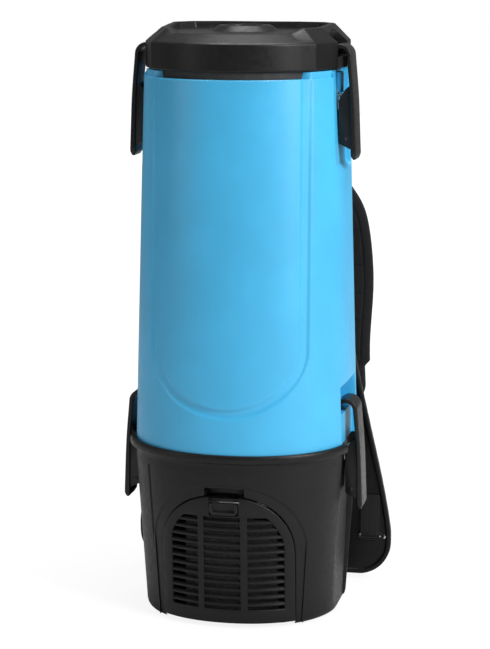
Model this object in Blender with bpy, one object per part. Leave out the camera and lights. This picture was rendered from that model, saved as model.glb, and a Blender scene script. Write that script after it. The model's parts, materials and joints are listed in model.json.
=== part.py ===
"""Backpack vacuum cleaner, in metres, +Z up.

The underside of the base plate is at z = 0, the dust chamber's axis is the Z axis and the front
of the machine looks towards -Y. The harness is at the back, towards +Y.
"""

import math

import bmesh
import bpy
from mathutils import Vector

# ------------------------------------------------------------------ fits
GAP = 0.0003                     # between pieces that touch
SLIDE_FIT = 0.0005               # between pieces that slip into one another
PROUD = 0.010                    # how far a cutter reaches past what it cuts

ROUND_SEGMENTS = 24              # of turned pieces
PIN_SEGMENTS = 12                # of screws, holes and hinge pins

# ------------------------------------------------------------------ body outline
FRONT_POWER = 2.15               # roundness of the front half of the outline, 2 is an ellipse
BACK_POWER = 4.0                 # the back half is flatter
BODY_SEGMENTS = 32

# ------------------------------------------------------------------ motor housing
DECK_HEIGHT = 0.1700             # top face of the deck that the chamber stands on
HOUSING_WALL = 0.0030
DECK_THICKNESS = 0.0040
DECK_OPENING = (0.0930, 0.0930, 0.0820)       # half width, front and back of the deck's opening
HOUSING_FOOT = (0.0980, 0.0940, 0.0850)       # half width, front and back at z = 0
HOUSING_NECK = (0.1085, 0.1005, 0.0900)       # the same just under the rim
NECK_BELOW_DECK = 0.0150
SKIRT_LIFT = 0.0012              # the housing's edge stays off the floor
EDGE_ROUNDING = 0.0050
RIM = (0.1147, 0.1039, 0.0929)                # half width, front and back of the rolled rim
RIM_ABOVE_DECK = 0.0045
RIM_DEPTH = 0.0090

# ------------------------------------------------------------------ dust chamber
SEAL_THICKNESS = 0.0026
CHAMBER_HEIGHT = 0.3653
CHAMBER_FOOT = (0.1082, 0.1010, 0.0900)
CHAMBER_TOP = (0.0978, 0.0935, 0.0850)
CHAMBER_WALL = 0.0030
CHAMBER_FLOOR = 0.0035
OUTLET_RADIUS = 0.0500
MOUTH = (0.0868, 0.0900, 0.0812)              # the lid's plug goes in here
MOUTH_DEPTH = 0.0185
MOUTH_LEDGE = 0.0020
MOUTH_LEDGE_HEIGHT = 0.0040
FRONT_DIP = 0.0065               # the front wall stops short of the lid
FRONT_DIP_HALF_WIDTH = 0.0765
GROOVE_LEG_X = 0.0735            # half the spacing of the groove's two legs
GROOVE_BOTTOM_HEIGHT = 0.0405    # of the groove's lowest point over the chamber's foot
GROOVE_BEND_HEIGHT = 0.0600
GROOVE_WIDTH = 0.0095
GROOVE_DEPTH = 0.0018

# ------------------------------------------------------------------ lid
LID_GAP = 0.0008
LID_WALL_HEIGHT = 0.0267
LID_ROOF_RISE = 0.0080           # in front, where the roof ends flush with the sunk middle
LID_ROOF_RUN = 0.0165
LID_FRONT_RADIUS = 0.1000
LID_FRONT_DEPTH = 0.0935
LID_FRONT_HALF_WIDTH = 0.0676
LID_CORNER = (0.0770, -0.0550)
LID_SIDE = ((0.0925, -0.0200), (0.0950, 0.0000), (0.0975, 0.0200), (0.0965, 0.0480))
LID_BACK = ((0.0800, 0.0730), (0.0500, 0.0830))
LID_BACK_DEPTH = 0.0850
LID_RIM_WIDTH = 0.0060
LID_DISH_DEPTH = 0.0002
LID_SIDE_RISE = 0.0045           # of the rim at the sides, over the front
LID_REAR_RISE = 0.0023           # and as much again towards the back
LID_REAR_RISE_Y = (-0.0100, 0.0500)
LID_THICKNESS = 0.0030
PLUG_WALL = 0.0025
GASKET_THICKNESS = 0.0024
GASKET_HEIGHT = 0.0080
BOSS_FOOT_RADIUS = 0.0333
BOSS_TOP_RADIUS = 0.0247
BOSS_HEIGHT = 0.0062
INLET_RADIUS = 0.0178            # bore for the hose cuff
INLET_WALL = 0.0014
INLET_LENGTH = 0.0800
INLET_FLANGE_RADIUS = 0.0260

# ------------------------------------------------------------------ side latches
# In a latch's own frame u points outwards, w up, and the origin is the centre of the hook's arch.
LATCH_UPPER_X = 0.0955
LATCH_UPPER_RISE = 0.0122        # of the arch's centre over the lid's lower edge
LATCH_LOWER_X = 0.1046
LATCH_LOWER_RISE = 0.0345        # of the arch's centre over the deck
LEVER_WIDTH = 0.0310
LEVER_THICKNESS = 0.0045
ARCH_RADIUS = 0.0115
LEVER_LENGTH = 0.1012            # from the arch's centre to the tip
LEVER_LEAN = 0.0055              # the lever's lower end stands further out
CHEEK_THICKNESS = 0.0020
CHEEK_INSET = 0.0020             # cheek behind the lever's edge
CHEEK_INNER_U = -0.0006
CHEEK_TOP_W = -0.0325
CHEEK_BOTTOM_W = -0.0842
BAIL_RADIUS = 0.0012
BAIL_HINGE = (-0.0005, -0.0395)
BAIL_RIVET = (0.0055, -0.0800)
BARREL_RADIUS = 0.0026
BARREL_LENGTH = 0.0150
BRACKET_HEIGHT = 0.0200
BRACKET_BELOW = 0.6              # share of it under the hinge
BRACKET_THICKNESS = 0.0011
SHELF_DROP = 0.0005              # the shelf's top under the hook's end
SHELF_REACH_U = -0.0010
HOOK_CLEARANCE = 0.0045
POCKET_HALF_WIDTH = 0.0320
POCKET_BELOW_TIP = 0.0020
POCKET_OVER_ARCH = 0.0060
HOOK_NOTCH_HALF_WIDTH = 0.0185
RAMP = 0.0175                    # height of the sloped end of an upper latch pocket
LOWER_RAMP = 0.0240              # the same over a lower pocket
LOWER_SLOPE = 1.15
FOOT_POCKET_DEPTH = 0.0030       # of a lower pocket at the housing's foot
POCKET_REACH = 0.0600            # how far out a pocket's guide goes

# ------------------------------------------------------------------ exhaust door
DOOR_HALF_WIDTH = 0.0660
DOOR_BOTTOM = 0.0048
DOOR_SPRINGING = 0.0700          # where the arch starts
DOOR_TOP = 0.1330
DOOR_ARCH_POWER = 2.30
DOOR_PROUD = 0.0010
DOOR_WALL = 0.0035
DOOR_CLEARANCE = 0.0010
DOOR_PIVOT = (-0.0895, 0.0068)   # y, z
DOOR_BAND = 0.0100               # recessed band round the door
DOOR_BAND_DEPTH = 0.0010
WINDOWS = ((-0.0545, -0.0265), (-0.0205, 0.0155), (0.0225, 0.0565))
WINDOW_BOTTOM = 0.0190
WINDOW_TOP = 0.1120
WINDOW_MARGIN = 0.0085           # between a window and the door's arched edge
SLAT_PITCH = 0.0076
SLAT_SLOT = 0.0036
TAB_HALF_WIDTH = 0.0140
TAB_BOTTOM = 0.1150
TAB_TOP = 0.1262
TAB_THICKNESS = 0.0030
TAB_DEPTH = 0.0070
TAB_PROUD = 0.0020               # in front of the door's face
TAB_RIM = 0.0030
TAB_PIVOT = (0.0055, 0.0012)     # behind its face, over its lower edge
HOOD_HALF_WIDTH = 0.0195
HOOD_TOP = 0.1405
HOOD_DEPTH = 0.0120

# ------------------------------------------------------------------ inside the motor housing
BASE_PLATE = (0.0920, 0.0795, 0.0800)
BASE_PLATE_THICKNESS = 0.0040
MOTOR_Y = 0.0120
MOTOR_RADIUS = 0.0440
MOTOR_LENGTH = 0.0700
MOTOR_FOOT = 0.0130
MOUNT_WALL = 0.0040
MOUNT_LIP = 0.0120               # how far the lower mount reaches up the motor
MOUNT_HOLE = 0.0120
FAN_RADIUS = 0.0600
FAN_HEIGHT = 0.0360
FAN_WALL = 0.0020
FAN_EYE_RADIUS = 0.0200
SHAFT_RADIUS = 0.0040
IMPELLER_RADIUS = 0.0520
IMPELLER_PLATE = 0.0020
IMPELLER_BLADES = 7
BLADE_THICKNESS = 0.0016
BLADE_HEIGHT = 0.0140
UPPER_MOUNT_RADIUS = 0.0340
UPPER_MOUNT_HEIGHT = 0.0070
GRID_THICKNESS = 0.0030
GRID_HOLE_RADIUS = 0.0040
GRID_HOLES = 8
GRID_HOLE_CIRCLE = 0.0130
GRID_SIDE_GAP = 0.0055           # to the inside of the latch pockets
GRID_END_GAP = 0.0040            # from the housing's outer outline, in front and behind
PRE_FILTER_THICKNESS = 0.0120
PRE_FILTER_RADIUS = 0.0700
FOAM_WALL = 0.0100
CASSETTE = (0.0460, 0.0120, 0.0980)           # half width, thickness, height
CASSETTE_BACK_Y = -0.0530

# ------------------------------------------------------------------ switch and cord gland
SWITCH_Y = 0.0560
SWITCH_Z = 0.1000
SWITCH_SIZE = (0.0120, 0.0200)                # along Y and Z
BEZEL_MARGIN = 0.0030
SWITCH_WALL = 0.0014
SWITCH_BODY_DEPTH = 0.0180
ROCKER_PIVOT_DEPTH = 0.0040      # behind the bezel's back face
GLAND_Z = 0.0450
GLAND_RADIUS = 0.0100
GLAND_BORE = 0.0042
GLAND_FLANGE = 0.0030

# ------------------------------------------------------------------ inside the chamber
BAG_RADIUS = 0.0640
BAG_BOTTOM = 0.2500
BAG_WALL = 0.0015
BAG_SEGMENTS = 16
BAG_COLLAR_RADIUS = 0.0420
BAG_COLLAR_THICKNESS = 0.0025
CLOTH_FILTER = (0.0800, 0.0830, 0.0745)
CLOTH_FILTER_BOTTOM = 0.2050
CLOTH_FILTER_WALL = 0.0016
FILTER_RING_HEIGHT = 0.0030

# ------------------------------------------------------------------ harness
PLATE_FRONT_Y = 0.0985
PLATE_THICKNESS = 0.0040
PLATE_BOTTOM = 0.0050
PLATE_TOP = 0.4900
PLATE_FOOT_HALF_WIDTH = 0.1350
PLATE_SIDE = ((0.1350, 0.0560), (0.1256, 0.1070), (0.1120, 0.1650), (0.0940, 0.2450))
PLATE_TOP_HALF_WIDTH = 0.0700
PLATE_CORNER = 0.0350
PLATE_RIM_WIDTH = 0.0050
PLATE_RIM_HEIGHT = 0.0022
SLOT_X = (0.1020, 0.1240)        # of the lower webbing
SLOT_Z = (0.0420, 0.0490)
ANCHOR_REACH = 0.0130            # from the pad's upper end to its slot in the plate
SLOT_WIDTH = 0.0060
WEBBING_TAIL = 0.0420            # sewn down on the front of the plate
SPACER_RADIUS = 0.0080
SPACERS = ((0.0500, 0.1345), (0.0450, 0.0125))
SCREW_HEAD_RADIUS = 0.0045
SCREW_HEAD_HEIGHT = 0.0018
SCREW_SHANK_RADIUS = 0.0018
SCREW_LENGTH = 0.0120
SCREW_HOLE_RADIUS = 0.0022
BACK_PAD = (0.0550, 0.1450, 0.3720, 0.0200)   # half width, bottom, top, thickness
LUMBAR_PAD = (0.0860, 0.0220, 0.1240, 0.0190)
PAD_CORNER = 0.0220
PAD_EDGE = 0.40                  # share of the thickness that is left at a pad's edge
PAD_CHANNELS = {"back_pad": 5, "lumbar_pad": 3}
CHANNEL_DEPTH = 0.0050
CHANNEL_WIDTH = 0.0080
STRAP_ROUTE = ((0.0360, 0.1210, 0.4180), (0.0500, 0.1350, 0.4040), (0.0635, 0.1460, 0.3885),
               (0.0730, 0.1520, 0.3640), (0.0780, 0.1550, 0.3090), (0.0755, 0.1510, 0.2400),
               (0.0785, 0.1450, 0.1820))
STRAP_WIDTH = 0.0550
STRAP_THICKNESS = 0.0140
STRAP_EDGE = 0.0065
STRAP_CHANNEL_PITCH = 0.0260
STRAP_CHANNEL_DEPTH = 0.0022
STRAP_END_TAPER = 0.0250
STRAP_POINTS = 25
STRAP_END_GAP = 0.0010
WEBBING_WIDTH = 0.0200
WEBBING_THICKNESS = 0.0018
BUCKLE_WALL = 0.0035
BUCKLE_THICKNESS = 0.0060
BUCKLE_LENGTH = 0.0300
BUCKLE_GAP = 0.0060              # from the pad's lower end
LOWER_WEBBING_KNOTS = ((0.0945, 0.1310, 0.1310), (0.1055, 0.1205, 0.0990), (0.1120, 0.1080, 0.0650))
LOWER_WEBBING_POINTS = 12

# ------------------------------------------------------------------ heights that follow
CHAMBER_Z = DECK_HEIGHT + SEAL_THICKNESS + 2 * GAP
CHAMBER_TOP_Z = CHAMBER_Z + CHAMBER_HEIGHT
LID_Z = CHAMBER_TOP_Z + LID_GAP
LID_WALL_TOP_Z = LID_Z + LID_WALL_HEIGHT
LID_ROOF_Z = LID_WALL_TOP_Z + LID_ROOF_RISE
LID_TOP_Z = LID_ROOF_Z + LID_SIDE_RISE + LID_REAR_RISE
DISH_Z = LID_ROOF_Z - LID_DISH_DEPTH
BOSS_TOP_Z = DISH_Z + BOSS_HEIGHT
MOUTH_BOTTOM_Z = CHAMBER_TOP_Z - MOUTH_DEPTH
NECK_Z = DECK_HEIGHT - NECK_BELOW_DECK
RIM_TOP_Z = DECK_HEIGHT + RIM_ABOVE_DECK
RIM_BOTTOM_Z = RIM_TOP_Z - RIM_DEPTH
PLATE_BACK_Y = PLATE_FRONT_Y + PLATE_THICKNESS
MOTOR_TOP_Z = MOTOR_FOOT + MOTOR_LENGTH
FAN_Z = MOTOR_TOP_Z + GAP
FAN_TOP_Z = FAN_Z + FAN_HEIGHT
GRID_Z = FAN_TOP_Z + UPPER_MOUNT_HEIGHT + 2 * GAP
INLET_TOP_Z = BOSS_TOP_Z - GAP
INLET_BOTTOM_Z = INLET_TOP_Z - INLET_LENGTH
LATCH_UPPER = (LATCH_UPPER_X, LID_Z + LATCH_UPPER_RISE)
LATCH_LOWER = (LATCH_LOWER_X, DECK_HEIGHT + LATCH_LOWER_RISE)
BRACKET_BOTTOM_Z = LATCH_LOWER[1] + BAIL_HINGE[1] - BRACKET_BELOW * BRACKET_HEIGHT

MATERIALS = {
    "blue_shell": ((0.058, 0.445, 0.745), 0.32, 0.0),
    "black_shell": ((0.022, 0.022, 0.021), 0.42, 0.0),
    "black_lever": ((0.030, 0.029, 0.028), 0.38, 0.0),
    "rubber": ((0.014, 0.014, 0.014), 0.70, 0.0),
    "steel": ((0.62, 0.61, 0.59), 0.28, 1.0),
    "aluminium": ((0.72, 0.73, 0.74), 0.35, 1.0),
    "paper": ((0.72, 0.66, 0.52), 0.90, 0.0),
    "filter_cloth": ((0.80, 0.80, 0.78), 0.92, 0.0),
    "foam": ((0.055, 0.055, 0.058), 0.95, 0.0),
    "padding": ((0.020, 0.020, 0.021), 0.88, 0.0),
    "webbing": ((0.026, 0.026, 0.027), 0.80, 0.0),
    "switch_red": ((0.45, 0.020, 0.016), 0.35, 0.0),
}


# ------------------------------------------------------------------ making meshes

def clear_scene():
    for old in list(bpy.data.objects):
        bpy.data.objects.remove(old, do_unlink=True)


def material(name):
    found = bpy.data.materials.get(name)
    if found:
        return found
    colour, roughness, metallic = MATERIALS[name]
    made = bpy.data.materials.new(name)
    made.use_nodes = True
    shader = made.node_tree.nodes["Principled BSDF"]
    shader.inputs["Base Color"].default_value = (*colour, 1.0)
    shader.inputs["Roughness"].default_value = roughness
    shader.inputs["Metallic"].default_value = metallic
    made.diffuse_color = (*colour, 1.0)
    return made


def solid(name, points, faces, slot, smooth=True):
    """An object from points and faces, with every face pointing out."""
    mesh = bpy.data.meshes.new(name)
    mesh.from_pydata([tuple(p) for p in points], [], faces)
    shape = bmesh.new()
    shape.from_mesh(mesh)
    bmesh.ops.remove_doubles(shape, verts=shape.verts, dist=1e-6)
    bmesh.ops.recalc_face_normals(shape, faces=shape.faces)
    shape.to_mesh(mesh)
    shape.free()
    made = bpy.data.objects.new(name, mesh)
    bpy.context.scene.collection.objects.link(made)
    mesh.materials.append(material(slot))
    if smooth:
        mesh.shade_smooth()
        mesh.set_sharp_from_angle(angle=math.radians(35))
    return made


def loft(name, rings, slot, closed=False):
    """Rings of equal length joined in order; closed joins the last to the first."""
    count = len(rings[0])
    points = [p for ring in rings for p in ring]
    faces = []
    for level in range(len(rings) - (0 if closed else 1)):
        low = level * count
        high = (level + 1) % len(rings) * count
        for i in range(count):
            j = (i + 1) % count
            faces.append((low + i, low + j, high + j, high + i))
    if not closed:
        faces.append(tuple(range(count))[::-1])
        faces.append(tuple(range(len(points) - count, len(points))))
    return solid(name, points, faces, slot)


def prism(name, outline, start, end, slot, axis="y", side=1):
    """A flat outline carried along one axis from start to end; side = -1 mirrors it in X."""
    def place(a, b, along):
        if axis == "y":
            return (side * a, along, b)
        if axis == "x":
            return (side * along, a, b)
        return (side * a, b, along)
    rings = [[place(a, b, along) for a, b in outline] for along in (start, end)]
    return loft(name, rings, slot)


def box(name, low, high, slot, side=1):
    outline = [(low[0], low[1]), (high[0], low[1]), (high[0], high[1]), (low[0], high[1])]
    return prism(name, outline, low[2], high[2], slot, axis="z", side=side)


def turned(name, profile, slot, centre=(0.0, 0.0), segments=ROUND_SEGMENTS, closed=True):
    """A profile of (radius, height) turned about a vertical axis."""
    rings = []
    for radius, z in profile:
        ring = []
        for i in range(segments):
            angle = 2 * math.pi * i / segments
            ring.append((centre[0] + radius * math.cos(angle), centre[1] + radius * math.sin(angle), z))
        rings.append(ring)
    return loft(name, rings, slot, closed=closed)


def rod(name, start, end, radius, slot, segments=PIN_SEGMENTS):
    """A straight round bar between two points."""
    return sweep(name, [start, end], circle(radius, segments), slot)


def circle(radius, segments):
    return [(radius * math.cos(2 * math.pi * i / segments), radius * math.sin(2 * math.pi * i / segments))
            for i in range(segments)]


def sweep(name, path, section, slot, across=None):
    """An outline carried along a path. Its first axis stays as near to across as it can."""
    path = [Vector(p) for p in path]
    rings = []
    side = Vector(across) if across else None
    for i, point in enumerate(path):
        before = path[max(i - 1, 0)]
        after = path[min(i + 1, len(path) - 1)]
        along = (after - before).normalized()
        if side is None:
            side = along.orthogonal().normalized()
        hint = Vector(across) if across else side
        side = (hint - along * hint.dot(along)).normalized()
        up = along.cross(side)
        rings.append([point + side * a + up * b for a, b in section])
    return loft(name, rings, slot)


def set_origin(thing, point):
    """Moves the object's origin to a point and leaves its shape where it is."""
    point = Vector(point)
    for vertex in thing.data.vertices:
        vertex.co -= point
    thing.location = point
    return thing


def as_cutter(thing):
    thing.name = "cut_" + thing.name
    thing.hide_render = True
    thing.display_type = "WIRE"
    return thing


def combine(thing, other, operation):
    """Adds a Boolean modifier that takes the other object, which becomes a hidden guide."""
    as_cutter(other)
    step = thing.modifiers.new(operation.lower(), "BOOLEAN")
    step.operation = operation
    step.solver = "EXACT"
    step.object = other
    return thing


def cut(thing, *others):
    for other in others:
        combine(thing, other, "DIFFERENCE")
    return thing


def join(thing, *others):
    for other in others:
        combine(thing, other, "UNION")
    return thing


# ------------------------------------------------------------------ outlines of the body

def body_ring(size, z, inset=0.0, count=BODY_SEGMENTS):
    """A squarish ellipse in front and a flatter one behind, at height z."""
    half_width, front, back = (value - inset for value in size)
    ring = []
    for i in range(count):
        angle = 2 * math.pi * i / count
        c = math.cos(angle)
        s = math.sin(angle)
        power = FRONT_POWER if s < 0 else BACK_POWER
        depth = front if s < 0 else back
        ring.append((half_width * math.copysign(abs(c) ** (2 / power), c),
                     depth * math.copysign(abs(s) ** (2 / power), s), z))
    return ring


def blend(low, high, share):
    return tuple(a + (b - a) * share for a, b in zip(low, high))


def chamber_size(z):
    return blend(CHAMBER_FOOT, CHAMBER_TOP, (z - CHAMBER_Z) / CHAMBER_HEIGHT)


def housing_size(z):
    return blend(HOUSING_FOOT, HOUSING_NECK, z / NECK_Z)


def front_y(size, x):
    """The front surface at a distance x from the middle."""
    return -size[1] * (1 - (abs(x) / size[0]) ** FRONT_POWER) ** (1 / FRONT_POWER)


def front_normal(size, x):
    """Outward direction of the front surface at x, level."""
    y = front_y(size, x)
    across = math.copysign((abs(x) / size[0]) ** (FRONT_POWER - 1) / size[0], x)
    ahead = -(abs(y) / size[1]) ** (FRONT_POWER - 1) / size[1]
    return Vector((across, ahead, 0.0)).normalized()


# ------------------------------------------------------------------ latch places

def latch_point(place, spot):
    """x and z of a point given in a latch's own frame."""
    return place[0] + spot[0], place[1] + spot[1]


def pocket_floor(place, z):
    """x of the flat floor of a latch's pocket; it leans with the lever."""
    hinge_x, hinge_z = latch_point(place, BAIL_HINGE)
    return hinge_x - BARREL_RADIUS - GAP + (hinge_z - z) * LEVER_LEAN / LEVER_LENGTH


def pocket_outline(place, bottom, top, ramp_down=0.0, ramp_up=0.0, inset=0.0):
    """Side view of what a pocket takes away, from its floor outwards."""
    out = place[0] + POCKET_REACH
    low_x = pocket_floor(place, bottom) - inset
    high_x = pocket_floor(place, top) - inset
    outline = [(low_x, bottom), (high_x, top)]
    if ramp_up:
        outline.append((high_x + 1.2 * ramp_up, top + ramp_up))
    outline += [(out, top + ramp_up), (out, bottom - ramp_down)]
    if ramp_down:
        outline.append((low_x + 0.8 * ramp_down, bottom - ramp_down))
    return outline


def pocket(name, outline, side, half_width=POCKET_HALF_WIDTH):
    return prism(name, outline, -half_width, half_width, "steel", side=side)


# ------------------------------------------------------------------ motor housing

def housing_outer():
    """Rings of the housing's outside, up to the rolled rim."""
    foot = SKIRT_LIFT
    return [
        body_ring(housing_size(foot), foot, inset=0.6 * EDGE_ROUNDING),
        body_ring(housing_size(foot + EDGE_ROUNDING), foot + EDGE_ROUNDING),
        body_ring(HOUSING_NECK, NECK_Z),
        body_ring(HOUSING_NECK, RIM_BOTTOM_Z - 0.001),
        body_ring(RIM, RIM_BOTTOM_Z + 0.0015, inset=0.0006),
        body_ring(RIM, RIM_TOP_Z - 0.0020),
        body_ring(RIM, RIM_TOP_Z, inset=0.0012),
    ]


def arch_outline(grow, bottom, half_width=DOOR_HALF_WIDTH, top=DOOR_TOP, springing=DOOR_SPRINGING):
    """The door's outline, grown evenly: straight sides under a squarish elliptic arch."""
    width = half_width + grow
    rise = top - springing + grow
    steps = 16
    outline = [(width, bottom), (-width, bottom)]
    for i in range(steps + 1):
        angle = math.pi - math.pi * i / steps
        c = math.cos(angle)
        s = max(math.sin(angle), 0.0)
        outline.append((width * math.copysign(abs(c) ** (2 / DOOR_ARCH_POWER), c),
                        springing + rise * s ** (2 / DOOR_ARCH_POWER)))
    return outline[::-1]


def make_motor_housing():
    housing = loft("motor_housing", housing_outer(), "black_shell")
    recess = tuple(value + SLIDE_FIT for value in CHAMBER_FOOT)
    cut(housing, loft("rim_recess", [body_ring(recess, DECK_HEIGHT), body_ring(recess, RIM_TOP_Z + PROUD)],
                      "black_shell"))
    cut(housing, loft("deck_opening", [body_ring(DECK_OPENING, 0.5 * DECK_HEIGHT, inset=0.004),
                                       body_ring(DECK_OPENING, DECK_HEIGHT + 0.5 * PROUD)], "black_shell"))
    under_deck = DECK_HEIGHT - DECK_THICKNESS
    inside = loft("housing_inside", [body_ring(housing_size(0), -PROUD, inset=HOUSING_WALL),
                                     body_ring(housing_size(0), SKIRT_LIFT, inset=HOUSING_WALL),
                                     body_ring(HOUSING_NECK, NECK_Z, inset=HOUSING_WALL),
                                     body_ring(HOUSING_NECK, under_deck, inset=HOUSING_WALL)], "black_shell")
    for side in (1, -1):
        grown = pocket_outline(LATCH_LOWER, -0.5 * PROUD, DECK_HEIGHT + PROUD, inset=HOUSING_WALL)
        cut(inside, pocket("inside_pocket_%d" % side, housing_pocket(grown), side,
                           POCKET_HALF_WIDTH + HOUSING_WALL))
        plain = pocket_outline(LATCH_LOWER, -PROUD, DECK_HEIGHT + 2 * PROUD)
        cut(housing, pocket("housing_pocket_%d" % side, housing_pocket(plain), side))
    hood_y = front_y(housing_size(HOOD_TOP), 0) + HOOD_DEPTH
    wall = 0.0020
    cut(inside, box("hood_room", (-HOOD_HALF_WIDTH - wall, -0.14, DOOR_TOP - 0.0070),
                    (HOOD_HALF_WIDTH + wall, hood_y + wall, HOOD_TOP + wall), "black_shell"))
    cut(housing, inside)
    cut(housing, prism("door_opening", arch_outline(DOOR_CLEARANCE, -1.5 * PROUD), -0.135, -0.0535,
                       "black_shell"))
    cut(housing, box("hood", (-HOOD_HALF_WIDTH, -0.14, DOOR_TOP - 0.006),
                     (HOOD_HALF_WIDTH, hood_y, HOOD_TOP), "black_shell"))
    wall_x = housing_size(SWITCH_Z)[0]
    cut(housing, box("switch_hole", (wall_x - 0.03, SWITCH_Y - SWITCH_SIZE[0] / 2 - GAP,
                                     SWITCH_Z - SWITCH_SIZE[1] / 2 - GAP),
                     (wall_x + PROUD, SWITCH_Y + SWITCH_SIZE[0] / 2 + GAP,
                      SWITCH_Z + SWITCH_SIZE[1] / 2 + GAP), "black_shell", side=-1))
    gland_x = housing_size(GLAND_Z)[0]
    cut(housing, rod("gland_hole", (-gland_x - PROUD, SWITCH_Y, GLAND_Z), (-gland_x + 0.03, SWITCH_Y, GLAND_Z),
                     GLAND_RADIUS + GAP, "black_shell", ROUND_SEGMENTS))
    for x, z in SPACERS:
        for side in (1, -1):
            cut(housing, rod("housing_screw_hole_%d_%d" % (side, round(z * 1000)),
                             (side * x, PLATE_FRONT_Y, z), (side * x, 0.070, z), SCREW_HOLE_RADIUS,
                             "black_shell"))
    cut(housing, door_band())
    return housing


def housing_pocket(outline):
    """The housing's pocket runs down to the floor; at the foot its floor is only a little way in."""
    foot_x = HOUSING_FOOT[0] - FOOT_POCKET_DEPTH
    shift = outline[0][0] - pocket_floor(LATCH_LOWER, outline[0][1])
    return [(foot_x + shift, outline[0][1])] + [(outline[1][0], BRACKET_BOTTOM_Z)] + outline[1:]


def door_band():
    """A shallow recessed band that follows the door's arch."""
    core = loft("band_core", [body_ring(housing_size(z), z, inset=DOOR_BAND_DEPTH) for z in (-PROUD, NECK_Z)],
                "black_shell")
    band = prism("door_band", arch_outline(DOOR_BAND, -PROUD), -0.13, -0.055, "black_shell")
    return cut(band, core)


def make_base_plate():
    loft("base_plate", [body_ring(BASE_PLATE, 0.0), body_ring(BASE_PLATE, BASE_PLATE_THICKNESS)], "black_shell")


# ------------------------------------------------------------------ exhaust door

def make_filter_door():
    door = prism("filter_door", arch_outline(0.0, DOOR_BOTTOM), -0.13, -0.055, "black_shell")
    levels = (-PROUD, NECK_Z + PROUD)
    outer = loft("door_outer", [body_ring(housing_size(z), z, inset=-DOOR_PROUD) for z in levels],
                 "black_shell")
    combine(door, outer, "INTERSECT")
    inner = loft("door_inner", [body_ring(housing_size(z), z, inset=DOOR_WALL - DOOR_PROUD) for z in levels],
                 "black_shell")
    cut(door, inner)
    cut(door, louvre_slots())
    notch = box("tab_notch", (-TAB_HALF_WIDTH - SLIDE_FIT, -0.13, TAB_BOTTOM - SLIDE_FIT),
                (TAB_HALF_WIDTH + SLIDE_FIT, -0.055, DOOR_TOP + PROUD), "black_shell")
    cut(door, notch)
    set_origin(door, (0.0, DOOR_PIVOT[0], DOOR_PIVOT[1]))


def louvre_slots():
    """All the louvre slots as one guide, each as long as the arch leaves room for."""
    points = []
    faces = []
    count = int((WINDOW_TOP - WINDOW_BOTTOM) / SLAT_PITCH)
    for left, right in WINDOWS:
        for row in range(count):
            low = WINDOW_BOTTOM + row * SLAT_PITCH
            high = low + SLAT_SLOT
            reach = arch_half_width(high) - WINDOW_MARGIN
            a = max(left, -reach)
            b = min(right, reach)
            if b - a < 2 * SLAT_SLOT:
                continue
            start = len(points)
            for y in (-0.13, -0.058):
                points += [(a, y, low), (b, y, low), (b, y, high), (a, y, high)]
            faces += [tuple(start + i for i in face) for face in
                      ((0, 1, 2, 3), (7, 6, 5, 4), (0, 4, 5, 1), (1, 5, 6, 2), (2, 6, 7, 3), (3, 7, 4, 0))]
    return solid("louvre_slots", points, faces, "black_shell")


def arch_half_width(z):
    """Half the door's width at a height."""
    if z <= DOOR_SPRINGING:
        return DOOR_HALF_WIDTH
    share = (z - DOOR_SPRINGING) / (DOOR_TOP - DOOR_SPRINGING)
    return DOOR_HALF_WIDTH * max(1 - share ** DOOR_ARCH_POWER, 0.0) ** (1 / DOOR_ARCH_POWER)


def make_door_tab():
    """A U-shaped spring tab; it tips about its lower edge."""
    face_y = front_y(housing_size(TAB_TOP), 0) - DOOR_PROUD - TAB_PROUD
    rim = TAB_RIM
    half = TAB_HALF_WIDTH
    outer = [(-half, TAB_TOP), (-half, TAB_BOTTOM + rim), (rim - half, TAB_BOTTOM),
             (half - rim, TAB_BOTTOM), (half, TAB_BOTTOM + rim), (half, TAB_TOP)]
    tab = prism("door_tab", outer, face_y, face_y + TAB_DEPTH, "black_lever")
    cut(tab, box("tab_scoop", (rim - half, face_y - PROUD, TAB_BOTTOM + rim),
                 (half - rim, face_y + TAB_DEPTH - TAB_THICKNESS, TAB_TOP + PROUD), "black_lever"))
    set_origin(tab, (0.0, face_y + TAB_PIVOT[0], TAB_BOTTOM + TAB_PIVOT[1]))


# ------------------------------------------------------------------ dust chamber

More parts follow.
